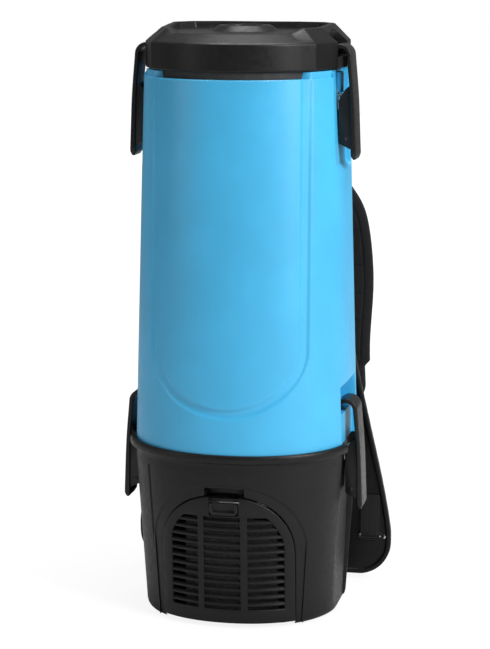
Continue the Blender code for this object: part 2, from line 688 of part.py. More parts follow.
def make_dust_chamber():
    levels = [CHAMBER_Z, CHAMBER_Z + 0.5 * CHAMBER_HEIGHT, CHAMBER_TOP_Z]
    chamber = loft("dust_chamber", [body_ring(chamber_size(z), z) for z in levels], "blue_shell")
    floor_z = CHAMBER_Z + CHAMBER_FLOOR
    ledge_z = MOUTH_BOTTOM_Z - MOUTH_LEDGE_HEIGHT
    throat_z = ledge_z - 0.0120
    inside = loft("chamber_inside", [
        body_ring(chamber_size(floor_z), floor_z, inset=CHAMBER_WALL),
        body_ring(chamber_size(throat_z), throat_z, inset=CHAMBER_WALL),
        body_ring(MOUTH, ledge_z, inset=MOUTH_LEDGE),
        body_ring(MOUTH, MOUTH_BOTTOM_Z, inset=MOUTH_LEDGE),
        body_ring(MOUTH, MOUTH_BOTTOM_Z),
        body_ring(MOUTH, CHAMBER_TOP_Z + PROUD)], "blue_shell")
    upper_bottom = LATCH_UPPER[1] - LEVER_LENGTH - POCKET_BELOW_TIP
    lower_top = LATCH_LOWER[1] + ARCH_RADIUS + POCKET_OVER_ARCH
    shelf_z = LATCH_LOWER[1] - SHELF_DROP
    shelf_x = LATCH_LOWER[0] + SHELF_REACH_U
    notch_x = LATCH_LOWER[0] - ARCH_RADIUS - HOOK_CLEARANCE
    out = LATCH_LOWER[0] + POCKET_REACH
    grown_ramp = LOWER_RAMP + CHAMBER_WALL
    for side in (1, -1):
        upper = pocket_outline(LATCH_UPPER, upper_bottom, CHAMBER_TOP_Z + 0.5 * PROUD, ramp_down=RAMP)
        grown = pocket_outline(LATCH_UPPER, upper_bottom - CHAMBER_WALL, CHAMBER_TOP_Z + 0.8 * PROUD,
                               ramp_down=RAMP, inset=CHAMBER_WALL)
        cut(chamber, pocket("upper_pocket_%d" % side, upper, side))
        cut(inside, pocket("upper_inside_%d" % side, grown, side, POCKET_HALF_WIDTH + CHAMBER_WALL))
        lower = [(shelf_x, CHAMBER_Z - PROUD), (shelf_x, shelf_z), (notch_x, shelf_z), (notch_x, lower_top),
                 (notch_x + LOWER_SLOPE * LOWER_RAMP, lower_top + LOWER_RAMP), (out, lower_top + LOWER_RAMP),
                 (out, CHAMBER_Z - PROUD)]
        lower_grown = [(notch_x - CHAMBER_WALL, CHAMBER_Z - 0.5 * PROUD), (notch_x - CHAMBER_WALL, lower_top),
                       (notch_x - CHAMBER_WALL + LOWER_SLOPE * grown_ramp, lower_top + grown_ramp),
                       (out, lower_top + grown_ramp), (out, CHAMBER_Z - 0.5 * PROUD)]
        cut(chamber, pocket("lower_pocket_%d" % side, lower, side))
        cut(inside, pocket("lower_inside_%d" % side, lower_grown, side, POCKET_HALF_WIDTH + CHAMBER_WALL))
    cut(chamber, inside)
    cut(chamber, turned("outlet", [(OUTLET_RADIUS, CHAMBER_Z - PROUD), (OUTLET_RADIUS, floor_z + PROUD)],
                        "blue_shell", closed=False))
    cut(chamber, box("front_dip", (-FRONT_DIP_HALF_WIDTH, -0.12, CHAMBER_TOP_Z - FRONT_DIP),
                     (FRONT_DIP_HALF_WIDTH, -0.060, CHAMBER_TOP_Z + PROUD), "blue_shell"))
    cut(chamber, front_groove())
    return chamber


def front_groove():
    """A round bar that presses the U-shaped groove into the chamber's front."""
    radius = (0.25 * GROOVE_WIDTH ** 2 + GROOVE_DEPTH ** 2) / (2 * GROOVE_DEPTH)
    bottom = CHAMBER_Z + GROOVE_BOTTOM_HEIGHT
    bend = bottom + GROOVE_BEND_HEIGHT
    route = [(GROOVE_LEG_X, CHAMBER_TOP_Z + PROUD), (GROOVE_LEG_X, 0.5 * (bend + CHAMBER_TOP_Z))]
    steps = 16
    for i in range(steps + 1):
        angle = math.pi * i / steps
        route.append((GROOVE_LEG_X * math.cos(angle), bend - GROOVE_BEND_HEIGHT * math.sin(angle)))
    route += [(-GROOVE_LEG_X, 0.5 * (bend + CHAMBER_TOP_Z)), (-GROOVE_LEG_X, CHAMBER_TOP_Z + PROUD)]
    path = []
    for x, z in route:
        size = chamber_size(z)
        out = front_normal(size, x)
        path.append(Vector((x, front_y(size, x), z)) + out * (radius - GROOVE_DEPTH))
    return sweep("front_groove", path, circle(radius, 12), "blue_shell", across=(0.0, -1.0, 0.0))


# ------------------------------------------------------------------ lid

def lid_ring(z, inset=0.0, risen=False):
    """The lid's outline: a round front, two chamfered corners, straight sides and a flat back.

    Behind the front arc a risen ring stands higher, and a little more so towards the back.
    """
    arc_steps = 5
    centre_y = LID_FRONT_RADIUS - LID_FRONT_DEPTH
    right = []
    for i in range(arc_steps + 1):
        x = LID_FRONT_HALF_WIDTH * i / arc_steps
        right.append((x, centre_y - math.sqrt(LID_FRONT_RADIUS ** 2 - x ** 2)))
    right.append(LID_CORNER)
    right += list(LID_SIDE)
    right += list(LID_BACK)
    outline = right + [(0.0, LID_BACK_DEPTH)] + [(-x, y) for x, y in right[:0:-1]]
    ring = []
    low, high = LID_REAR_RISE_Y
    for x, y in outline:
        length = math.hypot(x, y)
        share = (length - inset) / length
        lift = 0.0
        if risen and y >= LID_CORNER[1]:
            lift = LID_SIDE_RISE + LID_REAR_RISE * min(max((y - low) / (high - low), 0.0), 1.0)
        ring.append((x * share, y * share, z + lift))
    return ring


def make_lid():
    edge = 0.0015
    lid = loft("lid", [
        lid_ring(LID_Z),
        lid_ring(LID_WALL_TOP_Z - edge),
        lid_ring(LID_WALL_TOP_Z, inset=edge),
        lid_ring(LID_ROOF_Z, inset=LID_ROOF_RUN, risen=True),
        lid_ring(LID_ROOF_Z, inset=LID_ROOF_RUN + LID_RIM_WIDTH, risen=True),
        lid_ring(DISH_Z, inset=LID_ROOF_RUN + LID_RIM_WIDTH + 0.0020)], "black_shell")
    gasket = gasket_size()
    plug = tuple(value - GASKET_THICKNESS - GAP for value in gasket)
    plug_bottom = MOUTH_BOTTOM_Z + FILTER_RING_HEIGHT + 2 * GAP
    join(lid, loft("plug", [body_ring(plug, plug_bottom), body_ring(plug, LID_Z + 0.004)], "black_shell"))
    join(lid, turned("boss", [(BOSS_FOOT_RADIUS + 0.002, DISH_Z - 0.001), (BOSS_FOOT_RADIUS, DISH_Z),
                              (BOSS_TOP_RADIUS, BOSS_TOP_Z)], "black_shell", closed=False))
    cavity = loft("lid_cavity", [
        body_ring(plug, plug_bottom - PROUD, inset=PLUG_WALL),
        body_ring(plug, LID_WALL_TOP_Z - 0.0045, inset=PLUG_WALL),
        body_ring(plug, DISH_Z - LID_THICKNESS, inset=LID_ROOF_RUN)], "black_shell")
    shelf_z = LATCH_UPPER[1] - SHELF_DROP
    notch_x = LATCH_UPPER[0] - ARCH_RADIUS - HOOK_CLEARANCE
    shelf_x = LATCH_UPPER[0] + SHELF_REACH_U
    for side in (1, -1):
        wall = 0.0025
        cut(cavity, box("notch_room_%d" % side, (notch_x - wall, -HOOK_NOTCH_HALF_WIDTH - wall, shelf_z - wall),
                        (0.12, HOOK_NOTCH_HALF_WIDTH + wall, LID_TOP_Z + PROUD), "black_shell", side=side))
        cut(lid, box("hook_notch_%d" % side, (notch_x, -HOOK_NOTCH_HALF_WIDTH, shelf_z),
                     (0.12, HOOK_NOTCH_HALF_WIDTH, LID_TOP_Z + PROUD), "black_shell", side=side))
        cut(lid, box("shelf_face_%d" % side, (shelf_x, -HOOK_NOTCH_HALF_WIDTH, LID_Z - PROUD),
                     (0.12, HOOK_NOTCH_HALF_WIDTH, LID_TOP_Z + 2 * PROUD), "black_shell", side=side))
    cut(lid, cavity)
    hole = INLET_RADIUS + INLET_WALL + GAP
    cut(lid, turned("inlet_hole", [(hole, DISH_Z - 0.03), (hole, BOSS_TOP_Z + PROUD)], "black_shell",
                    closed=False))
    return lid


def gasket_size():
    return tuple(value - GAP for value in MOUTH)


def make_lid_gasket():
    size = gasket_size()
    top = LID_Z - GAP
    rings = []
    for z, inset in ((top, 0.0), (top - GASKET_HEIGHT, 0.0), (top - GASKET_HEIGHT, GASKET_THICKNESS),
                     (top, GASKET_THICKNESS)):
        rings.append(body_ring(size, z, inset=inset))
    return loft("lid_gasket", rings, "rubber", closed=True)


def make_inlet():
    """The hose socket in the lid and the ring that seals it."""
    outer = INLET_RADIUS + INLET_WALL
    seal_top = DISH_Z - LID_THICKNESS - GAP
    flange_top = seal_top - 0.0020 - GAP
    collar = turned("inlet_collar", [
        (INLET_RADIUS, INLET_TOP_Z), (INLET_RADIUS, INLET_BOTTOM_Z), (outer, INLET_BOTTOM_Z),
        (outer, flange_top - 0.0030), (INLET_FLANGE_RADIUS, flange_top - 0.0030),
        (INLET_FLANGE_RADIUS, flange_top), (outer, flange_top), (outer, INLET_TOP_Z)], "black_shell")
    seal = turned("inlet_seal", [(outer + GAP, seal_top), (outer + GAP, seal_top - 0.0020),
                                 (INLET_FLANGE_RADIUS, seal_top - 0.0020), (INLET_FLANGE_RADIUS, seal_top)],
                  "rubber")
    return collar, seal


# ------------------------------------------------------------------ inside the chamber

def make_dust_bag():
    """A paper sack that hangs on a card collar, open at its mouth."""
    hole = INLET_RADIUS + INLET_WALL + SLIDE_FIT
    collar_bottom = INLET_BOTTOM_Z + 0.0060
    turned("bag_collar", [(hole, collar_bottom + BAG_COLLAR_THICKNESS), (hole, collar_bottom),
                          (BAG_COLLAR_RADIUS, collar_bottom),
                          (BAG_COLLAR_RADIUS, collar_bottom + BAG_COLLAR_THICKNESS)], "paper",
           segments=BAG_SEGMENTS)
    top = collar_bottom - GAP
    outer = [(hole, top), (0.7 * BAG_RADIUS, top - 0.002), (0.95 * BAG_RADIUS, top - 0.014),
             (BAG_RADIUS, top - 0.040), (BAG_RADIUS, BAG_BOTTOM + 0.040),
             (0.9 * BAG_RADIUS, BAG_BOTTOM + 0.012), (0.5 * BAG_RADIUS, BAG_BOTTOM), (0.0, BAG_BOTTOM)]
    inner = [(max(radius - BAG_WALL, 0.0), z + (BAG_WALL if z < 0.5 * (top + BAG_BOTTOM) else -BAG_WALL))
             for radius, z in outer[1:]]
    turned("dust_bag", outer + inner[::-1] + [(hole, top - BAG_WALL)], "paper", segments=BAG_SEGMENTS)


def make_cloth_filter():
    ring_z = MOUTH_BOTTOM_Z + GAP
    ring_size = tuple(value - SLIDE_FIT for value in MOUTH)
    width = 0.0055
    loft("filter_ring", [body_ring(ring_size, ring_z), body_ring(ring_size, ring_z + FILTER_RING_HEIGHT),
                         body_ring(ring_size, ring_z + FILTER_RING_HEIGHT, inset=width),
                         body_ring(ring_size, ring_z, inset=width)], "black_lever", closed=True)
    size = CLOTH_FILTER
    top = ring_z - GAP
    wall = CLOTH_FILTER_WALL
    outer = [body_ring(size, top), body_ring(size, CLOTH_FILTER_BOTTOM + 0.02),
             body_ring(size, CLOTH_FILTER_BOTTOM, inset=0.016)]
    inner = [body_ring(size, CLOTH_FILTER_BOTTOM + wall, inset=0.0165),
             body_ring(size, CLOTH_FILTER_BOTTOM + 0.02, inset=wall), body_ring(size, top + PROUD, inset=wall)]
    cloth = loft("cloth_filter", outer, "filter_cloth")
    cut(cloth, loft("cloth_inside", inner, "filter_cloth"))


def make_chamber_seal():
    z = DECK_HEIGHT + GAP
    size = tuple(value + 0.0050 for value in DECK_OPENING)
    loft("chamber_seal", [body_ring(size, z), body_ring(size, z + SEAL_THICKNESS),
                          body_ring(size, z + SEAL_THICKNESS, inset=0.0040), body_ring(size, z, inset=0.0040)],
         "rubber", closed=True)


# ------------------------------------------------------------------ motor and fan

def make_motor():
    centre = (0.0, MOTOR_Y)
    cup_z = BASE_PLATE_THICKNESS + GAP
    outer = MOTOR_RADIUS + GAP + MOUNT_WALL
    cup_top = MOTOR_FOOT + MOUNT_LIP
    turned("lower_motor_mount", [(MOUNT_HOLE, cup_z), (outer, cup_z), (outer, cup_top),
                                 (MOTOR_RADIUS + GAP, cup_top), (MOTOR_RADIUS + GAP, MOTOR_FOOT - GAP),
                                 (MOUNT_HOLE, MOTOR_FOOT - GAP)], "rubber", centre)
    bore = SHAFT_RADIUS + GAP
    turned("motor", [(bore, MOTOR_FOOT), (MOTOR_RADIUS - 0.004, MOTOR_FOOT), (MOTOR_RADIUS, MOTOR_FOOT + 0.004),
                     (MOTOR_RADIUS, MOTOR_TOP_Z - 0.010), (MOTOR_RADIUS - 0.006, MOTOR_TOP_Z),
                     (bore, MOTOR_TOP_Z)], "steel", centre)
    wall = FAN_WALL
    turned("fan_housing", [
        (bore + 0.004, FAN_Z), (FAN_RADIUS, FAN_Z), (FAN_RADIUS, FAN_TOP_Z), (FAN_EYE_RADIUS, FAN_TOP_Z),
        (FAN_EYE_RADIUS, FAN_TOP_Z - wall), (FAN_RADIUS - wall, FAN_TOP_Z - wall),
        (FAN_RADIUS - wall, FAN_Z + wall), (bore + 0.004, FAN_Z + wall)], "aluminium", centre)
    hub_z = FAN_Z + wall + 0.005
    impeller = turned("impeller", [
        (0.0, MOTOR_FOOT + 0.002), (SHAFT_RADIUS, MOTOR_FOOT + 0.002), (SHAFT_RADIUS, hub_z),
        (IMPELLER_RADIUS, hub_z), (IMPELLER_RADIUS, hub_z + IMPELLER_PLATE), (0.010, hub_z + IMPELLER_PLATE),
        (0.008, hub_z + IMPELLER_PLATE + BLADE_HEIGHT), (0.0, hub_z + IMPELLER_PLATE + BLADE_HEIGHT)],
        "aluminium", centre, closed=False)
    for number in range(IMPELLER_BLADES):
        join(impeller, impeller_blade(number, hub_z + 0.5 * IMPELLER_PLATE, centre))
    set_origin(impeller, (centre[0], centre[1], hub_z))
    turned("upper_motor_mount", [
        (FAN_EYE_RADIUS, FAN_TOP_Z + GAP), (UPPER_MOUNT_RADIUS, FAN_TOP_Z + GAP),
        (UPPER_MOUNT_RADIUS, FAN_TOP_Z + GAP + UPPER_MOUNT_HEIGHT),
        (FAN_EYE_RADIUS, FAN_TOP_Z + GAP + UPPER_MOUNT_HEIGHT)], "rubber", centre)


def impeller_blade(number, z, centre):
    """A backward-curved blade that stands on the impeller's plate."""
    turn = 2 * math.pi * number / IMPELLER_BLADES
    start_radius = 0.0150
    end_radius = IMPELLER_RADIUS - 0.0010
    steps = 4
    inner = []
    outer = []
    for i in range(steps + 1):
        share = i / steps
        radius = start_radius + (end_radius - start_radius) * share
        angle = turn - 0.9 * share
        half = 0.5 * BLADE_THICKNESS / radius
        for side, angle_shift in ((inner, -half), (outer, half)):
            side.append((centre[0] + radius * math.cos(angle + angle_shift),
                         centre[1] + radius * math.sin(angle + angle_shift)))
    return prism("blade_%d" % number, inner + outer[::-1], z, z + BLADE_HEIGHT, "aluminium", axis="z")


def make_filters_below():
    centre = (0.0, MOTOR_Y)
    half_width = pocket_floor(LATCH_LOWER, DECK_HEIGHT) - HOUSING_WALL - GRID_SIDE_GAP
    front, back = (value - GRID_END_GAP for value in housing_size(GRID_Z)[1:])
    size = (half_width, front, back)
    grid = loft("motor_grid", [body_ring(size, GRID_Z), body_ring(size, GRID_Z + GRID_THICKNESS)],
                "black_shell")
    for number in range(GRID_HOLES + 1):
        if number == GRID_HOLES:
            x, y = centre
        else:
            angle = 2 * math.pi * number / GRID_HOLES
            x = centre[0] + GRID_HOLE_CIRCLE * math.cos(angle)
            y = centre[1] + GRID_HOLE_CIRCLE * math.sin(angle)
        cut(grid, turned("grid_hole_%d" % number,
                         [(GRID_HOLE_RADIUS, GRID_Z - PROUD), (GRID_HOLE_RADIUS, GRID_Z + PROUD)],
                         "black_shell", (x, y), 8, closed=False))
    filter_z = GRID_Z + GRID_THICKNESS + GAP
    turned("pre_motor_filter", [(0.0, filter_z), (PRE_FILTER_RADIUS, filter_z),
                                (PRE_FILTER_RADIUS, filter_z + PRE_FILTER_THICKNESS),
                                (0.0, filter_z + PRE_FILTER_THICKNESS)], "filter_cloth", closed=False)
    foam_z = MOTOR_FOOT + MOUNT_LIP + 2 * GAP
    turned("motor_foam", [(MOTOR_RADIUS + SLIDE_FIT, foam_z), (MOTOR_RADIUS + SLIDE_FIT + FOAM_WALL, foam_z),
                          (MOTOR_RADIUS + SLIDE_FIT + FOAM_WALL, FAN_Z - 2 * GAP),
                          (MOTOR_RADIUS + SLIDE_FIT, FAN_Z - 2 * GAP)], "foam", centre)
    half, thickness, height = CASSETTE
    box("exhaust_filter", (-half, CASSETTE_BACK_Y - thickness, BASE_PLATE_THICKNESS + GAP),
        (half, CASSETTE_BACK_Y, BASE_PLATE_THICKNESS + GAP + height), "foam")


# ------------------------------------------------------------------ switch and cord gland

def make_switch():
    wall_x = housing_size(SWITCH_Z)[0]
    half_y = SWITCH_SIZE[0] / 2
    half_z = SWITCH_SIZE[1] / 2
    face = wall_x + 0.0008
    bezel = box("switch_bezel", (face, SWITCH_Y - half_y - BEZEL_MARGIN, SWITCH_Z - half_z - BEZEL_MARGIN),
                (face + 0.0020, SWITCH_Y + half_y + BEZEL_MARGIN, SWITCH_Z + half_z + BEZEL_MARGIN),
                "black_lever", side=-1)
    join(bezel, box("switch_body", (face - SWITCH_BODY_DEPTH, SWITCH_Y - half_y, SWITCH_Z - half_z),
                    (face + 0.0010, SWITCH_Y + half_y, SWITCH_Z + half_z), "black_lever", side=-1))
    well_y = half_y - SWITCH_WALL
    well_z = half_z - SWITCH_WALL
    cut(bezel, box("switch_well", (face - 0.0140, SWITCH_Y - well_y, SWITCH_Z - well_z),
                   (face + PROUD, SWITCH_Y + well_y, SWITCH_Z + well_z), "black_lever", side=-1))
    pivot_x = face - ROCKER_PIVOT_DEPTH
    reach = half_z - SWITCH_WALL - SLIDE_FIT
    outline = [(-0.0030, 0.0), (0.0005, -reach), (0.0060, -0.0058), (0.0045, 0.0), (0.0050, 0.0062),
               (0.0005, reach)]
    outline = [(pivot_x + a, SWITCH_Z + b) for a, b in outline]
    side_y = half_y - SWITCH_WALL - GAP
    rocker = prism("power_rocker", outline, SWITCH_Y - side_y, SWITCH_Y + side_y, "switch_red", side=-1)
    set_origin(rocker, (-pivot_x, SWITCH_Y, SWITCH_Z))


def make_cord_gland():
    wall_x = housing_size(GLAND_Z)[0]
    face = -(wall_x + 0.0010)
    gland = rod("cord_gland", (face - GLAND_FLANGE, SWITCH_Y, GLAND_Z), (face, SWITCH_Y, GLAND_Z),
                GLAND_RADIUS + 0.0030, "rubber", ROUND_SEGMENTS)
    join(gland, rod("gland_neck", (face - 0.5 * GLAND_FLANGE, SWITCH_Y, GLAND_Z),
                    (face + 0.0120, SWITCH_Y, GLAND_Z), GLAND_RADIUS, "rubber", ROUND_SEGMENTS))
    cut(gland, rod("gland_bore", (face - GLAND_FLANGE - PROUD, SWITCH_Y, GLAND_Z),
                   (face + 0.0120 + PROUD, SWITCH_Y, GLAND_Z), GLAND_BORE, "rubber"))


# ------------------------------------------------------------------ side latches

def lever_outline():
    """Side view of the lever: a hooked arch that runs into a leaning bar with a thin tip."""
    outer = ARCH_RADIUS
    inner = ARCH_RADIUS - LEVER_THICKNESS
    steps = 7
    points = []
    for i in range(steps + 1):
        angle = math.pi - math.pi * i / steps
        points.append((outer * math.cos(angle), outer * math.sin(angle)))
    lean = LEVER_LEAN
    points += [(outer + 0.62 * lean, -0.40 * LEVER_LENGTH), (outer + lean, -0.86 * LEVER_LENGTH),
               (outer + 0.9 * lean, -0.95 * LEVER_LENGTH), (outer + 0.55 * lean, -LEVER_LENGTH),
               (inner + 1.05 * lean, -LEVER_LENGTH), (inner + 0.85 * lean, -0.97 * LEVER_LENGTH),
               (inner + 0.75 * lean, -0.89 * LEVER_LENGTH), (inner + 0.62 * lean, -0.40 * LEVER_LENGTH)]
    for i in range(steps + 1):
        angle = math.pi * i / steps
        points.append((inner * math.cos(angle), inner * math.sin(angle)))
    return points


def cheek_outline():
    """Side view of a cheek, the thin web that carries the bail's ends."""
    bar_u = ARCH_RADIUS - LEVER_THICKNESS + 0.0020
    return [(bar_u + 0.0020, CHEEK_TOP_W + 0.0050), (bar_u - 0.0040, CHEEK_TOP_W),
            (CHEEK_INNER_U, CHEEK_TOP_W - 0.0100), (CHEEK_INNER_U + 0.0005, CHEEK_BOTTOM_W),
            (bar_u + 0.0035, CHEEK_BOTTOM_W - 0.0060)]


def make_latch(name, place, side):
    """Lever, wire bail and bracket of one latch."""
    half = LEVER_WIDTH / 2
    hinge_x, hinge_z = latch_point(place, BAIL_HINGE)
    rivet_x, rivet_z = latch_point(place, BAIL_RIVET)
    outline = [latch_point(place, spot) for spot in lever_outline()]
    lever = prism(name + "_lever", outline, -half, half, "black_lever", side=side)
    cheek = [latch_point(place, spot) for spot in cheek_outline()]
    outer_y = half - CHEEK_INSET
    inner_y = outer_y - CHEEK_THICKNESS
    for face in (1, -1):
        low, high = sorted((face * inner_y, face * outer_y))
        join(lever, prism("%s_cheek_%d" % (name, face), cheek, low, high, "black_lever", side=side))
    cut(lever, rod(name + "_rivet_hole", (side * rivet_x, -half - PROUD, rivet_z),
                   (side * rivet_x, half + PROUD, rivet_z), BAIL_RADIUS + GAP, "black_lever"))
    set_origin(lever, (side * rivet_x, 0.0, rivet_z))

    leg_y = inner_y - GAP - BAIL_RADIUS - 0.0003
    end_y = outer_y + 0.0004
    corner = 0.0012
    path = [(rivet_x, -end_y, rivet_z), (rivet_x, -leg_y - corner, rivet_z),
            (rivet_x + (hinge_x - rivet_x) * 0.03, -leg_y, rivet_z + (hinge_z - rivet_z) * 0.03),
            (hinge_x + (rivet_x - hinge_x) * 0.03, -leg_y, hinge_z + (rivet_z - hinge_z) * 0.03),
            (hinge_x, -leg_y + corner, hinge_z)]
    path += [(x, -y, z) for x, y, z in path[::-1]]
    bail = sweep(name + "_bail", [(side * x, y, z) for x, y, z in path], circle(BAIL_RADIUS, 6), "steel")
    set_origin(bail, (side * hinge_x, 0.0, hinge_z))

    lean = LEVER_LEAN / LEVER_LENGTH
    half_barrel = BARREL_LENGTH / 2
    bottom = hinge_z - BRACKET_BELOW * BRACKET_HEIGHT
    top = bottom + BRACKET_HEIGHT
    strip = []
    front = GAP + BRACKET_THICKNESS
    for z, out in ((top, GAP), (bottom, GAP), (bottom, front), (top, front)):
        strip.append((hinge_x - BARREL_RADIUS - GAP + (hinge_z - z) * lean + out, z))
    bracket = prism(name + "_bracket", strip, -half_barrel, half_barrel, "steel", side=side)
    join(bracket, rod(name + "_barrel", (side * hinge_x, -half_barrel, hinge_z),
                      (side * hinge_x, half_barrel, hinge_z), BARREL_RADIUS, "steel"))
    cut(bracket, rod(name + "_barrel_hole", (side * hinge_x, -half_barrel - PROUD, hinge_z),
                     (side * hinge_x, half_barrel + PROUD, hinge_z), BAIL_RADIUS + GAP, "steel"))


# ------------------------------------------------------------------ harness

def plate_outline(inset=0.0):
    """Rear view of the harness plate: wide rounded wings below, narrow above."""
    foot = PLATE_FOOT_HALF_WIDTH - inset
    corner = PLATE_CORNER - inset
    low = PLATE_BOTTOM + inset
    top = PLATE_TOP - inset
    top_half = PLATE_TOP_HALF_WIDTH - inset
    right = []
    steps = 6
    for i in range(steps + 1):
        angle = -0.5 * math.pi + 0.5 * math.pi * i / steps
        right.append((foot - corner + corner * math.cos(angle), low + corner + corner * math.sin(angle)))
    right += [(x - inset, z) for x, z in PLATE_SIDE]
    top_corner = 0.0300 - inset
    for i in range(steps + 1):
        angle = 0.5 * math.pi * i / steps
        right.append((top_half - top_corner + top_corner * math.cos(angle),
                      top - top_corner + top_corner * math.sin(angle)))
    return right + [(-x, z) for x, z in right[::-1]]


def make_harness_plate():
    plate = prism("harness_plate", plate_outline(), PLATE_FRONT_Y - PLATE_RIM_HEIGHT, PLATE_BACK_Y,
                  "black_shell")
    cut(plate, prism("plate_face", plate_outline(PLATE_RIM_WIDTH), PLATE_FRONT_Y - PROUD, PLATE_FRONT_Y,
                     "black_shell"))
    for x, z in SPACERS:
        size = housing_size(z)
        wall_y = size[2] * (1 - (x / size[0]) ** BACK_POWER) ** (1 / BACK_POWER)
        for side in (1, -1):
            tag = "%d_%d" % (side, round(z * 1000))
            join(plate, rod("spacer_" + tag, (side * x, wall_y + 4 * GAP, z),
                            (side * x, PLATE_BACK_Y - 0.001, z), SPACER_RADIUS, "black_shell"))
            cut(plate, rod("plate_hole_" + tag, (side * x, 0.06, z), (side * x, PLATE_BACK_Y + PROUD, z),
                           SCREW_HOLE_RADIUS, "black_shell"))
    for side in (1, -1):
        cut(plate, box("slot_%d" % side, (SLOT_X[0], 0.05, SLOT_Z[0]), (SLOT_X[1], 0.15, SLOT_Z[1]),
                       "black_shell", side=side))
        middle, across = strap_anchor()
        along = Vector((across.z, 0.0, -across.x))
        half = across * (0.5 * WEBBING_WIDTH + 0.0015)
        thin = along * (0.5 * SLOT_WIDTH)
        corners = [middle + half + thin, middle - half + thin, middle - half - thin, middle + half - thin]
        cut(plate, prism("anchor_slot_%d" % side, [(c.x, c.z) for c in corners], 0.05, 0.15, "black_shell",
                         side=side))


def make_plate_screws():
    number = 0
    for x, z in SPACERS:
        for side in (1, -1):
            number += 1
            name = "plate_screw_%d" % number
            head_y = PLATE_BACK_Y + GAP
            screw = rod(name, (side * x, head_y, z), (side * x, head_y + SCREW_HEAD_HEIGHT, z),
                        SCREW_HEAD_RADIUS, "steel")
            join(screw, rod(name + "_shank", (side * x, head_y + 0.0005, z),
                            (side * x, head_y - SCREW_LENGTH, z), SCREW_SHANK_RADIUS, "steel", 8))


def make_pad(name, values):
    """A crowned cushion on the plate: drawn-in sides and level sewn channels."""
    half_width, bottom, top, thickness = values
    base_y = PLATE_BACK_Y + GAP
    rows = 5 * (PAD_CHANNELS[name] + 1) + 1
    columns = 6
    pitch = (top - bottom) / (PAD_CHANNELS[name] + 1)
    rings = []
    for row in range(rows):
        z = bottom + (top - bottom) * row / (rows - 1)
        from_end = min(z - bottom, top - z)
        corner = min(from_end / PAD_CORNER, 1.0)
        width = half_width - PAD_CORNER * 0.7 * (1 - math.sqrt(max(1 - (1 - corner) ** 2, 0.0)))
        end_drop = 1 - (1 - PAD_EDGE) * (1 - min(from_end / 0.012, 1.0)) ** 2
        nearest = abs((z - bottom) / pitch - round((z - bottom) / pitch)) * pitch
        inner_seam = 0 < round((z - bottom) / pitch) <= PAD_CHANNELS[name]
        seam = CHANNEL_DEPTH * math.exp(-(nearest / (0.5 * CHANNEL_WIDTH)) ** 2) if inner_seam else 0.0
        ring = []
        for column in range(columns + 1):
            across = -1 + 2 * column / columns
            crown = 1 - (1 - PAD_EDGE) * abs(across) ** 3.0
            ring.append((across * width, base_y + (thickness * end_drop * crown - seam * crown), z))
        ring.append((width * 0.985, base_y, z))
        ring.append((0.0, base_y, z))
        ring.append((-width * 0.985, base_y, z))
        rings.append(ring)
    return loft(name, rings, "padding")


def smooth_route(points, count):
    """Points along a smooth curve through the given points."""
    points = [Vector(p) for p in points]
    points = [2 * points[0] - points[1]] + points + [2 * points[-1] - points[-2]]
    spans = len(points) - 3
    route = []
    for i in range(count):
        place = spans * i / (count - 1)
        k = min(int(place), spans - 1)
        t = place - k
        a, b, c, d = points[k:k + 4]
        route.append(0.5 * ((2 * b) + (c - a) * t + (2 * a - 5 * b + 4 * c - d) * t ** 2
                            + (3 * b - a - 3 * c + d) * t ** 3))
    return route


def mirrored(points, side):
    return [(side * p[0], p[1], p[2]) for p in points]


def pad_route():
    return smooth_route(STRAP_ROUTE, STRAP_POINTS)


def make_shoulder_pad(name, side):
    """A padded strap: thin stitched edges, a crowned middle and sewn cross channels."""
    route = pad_route()
    count = len(route)
    lengths = [0.0]
    for i in range(1, count):
        lengths.append(lengths[-1] + (route[i] - route[i - 1]).length)
    total = lengths[-1]

    sections = []
    for place in lengths:
        end = min(min(place, total - place) / STRAP_END_TAPER, 1.0)
        half = 0.5 * (WEBBING_WIDTH + 0.006) + 0.5 * (STRAP_WIDTH - WEBBING_WIDTH - 0.006) * math.sqrt(
            1 - (1 - end) ** 2)
        thick = 0.5 * STRAP_THICKNESS * (0.55 + 0.45 * math.sqrt(1 - (1 - end) ** 2))
        nearest = abs(place / STRAP_CHANNEL_PITCH - round(place / STRAP_CHANNEL_PITCH)) * STRAP_CHANNEL_PITCH
        seam = STRAP_CHANNEL_DEPTH * math.exp(-(nearest / 0.0040) ** 2)
        thick -= seam
        edge = 0.45 * min(thick, 0.5 * STRAP_EDGE)
        inner = half - STRAP_EDGE
        sections.append([(-half, -edge), (-inner, -0.75 * thick), (-0.4 * inner, -thick), (0.4 * inner, -thick),
                         (inner, -0.75 * thick), (half, -edge), (half, edge), (inner, 0.75 * thick),
                         (0.4 * inner, thick), (-0.4 * inner, thick), (-inner, 0.75 * thick), (-half, edge)])
    strap_sweep(name, mirrored(route, side), sections, "padding", side)


def strap_sweep(name, path, sections, slot, side):
    """Carries one section per point along a strap's path, with the width square to +Y."""
    path = [Vector(p) for p in path]
    rings = []
    for i, point in enumerate(path):
        before = path[max(i - 1, 0)]
        after = path[min(i + 1, len(path) - 1)]
        along = (after - before).normalized()
        out = Vector((0.0, 1.0, 0.0))
        out = (out - along * out.dot(along)).normalized()
        across = along.cross(out) * side
        rings.append([point + across * a + out * b for a, b in sections[i]])
    return loft(name, rings, slot)


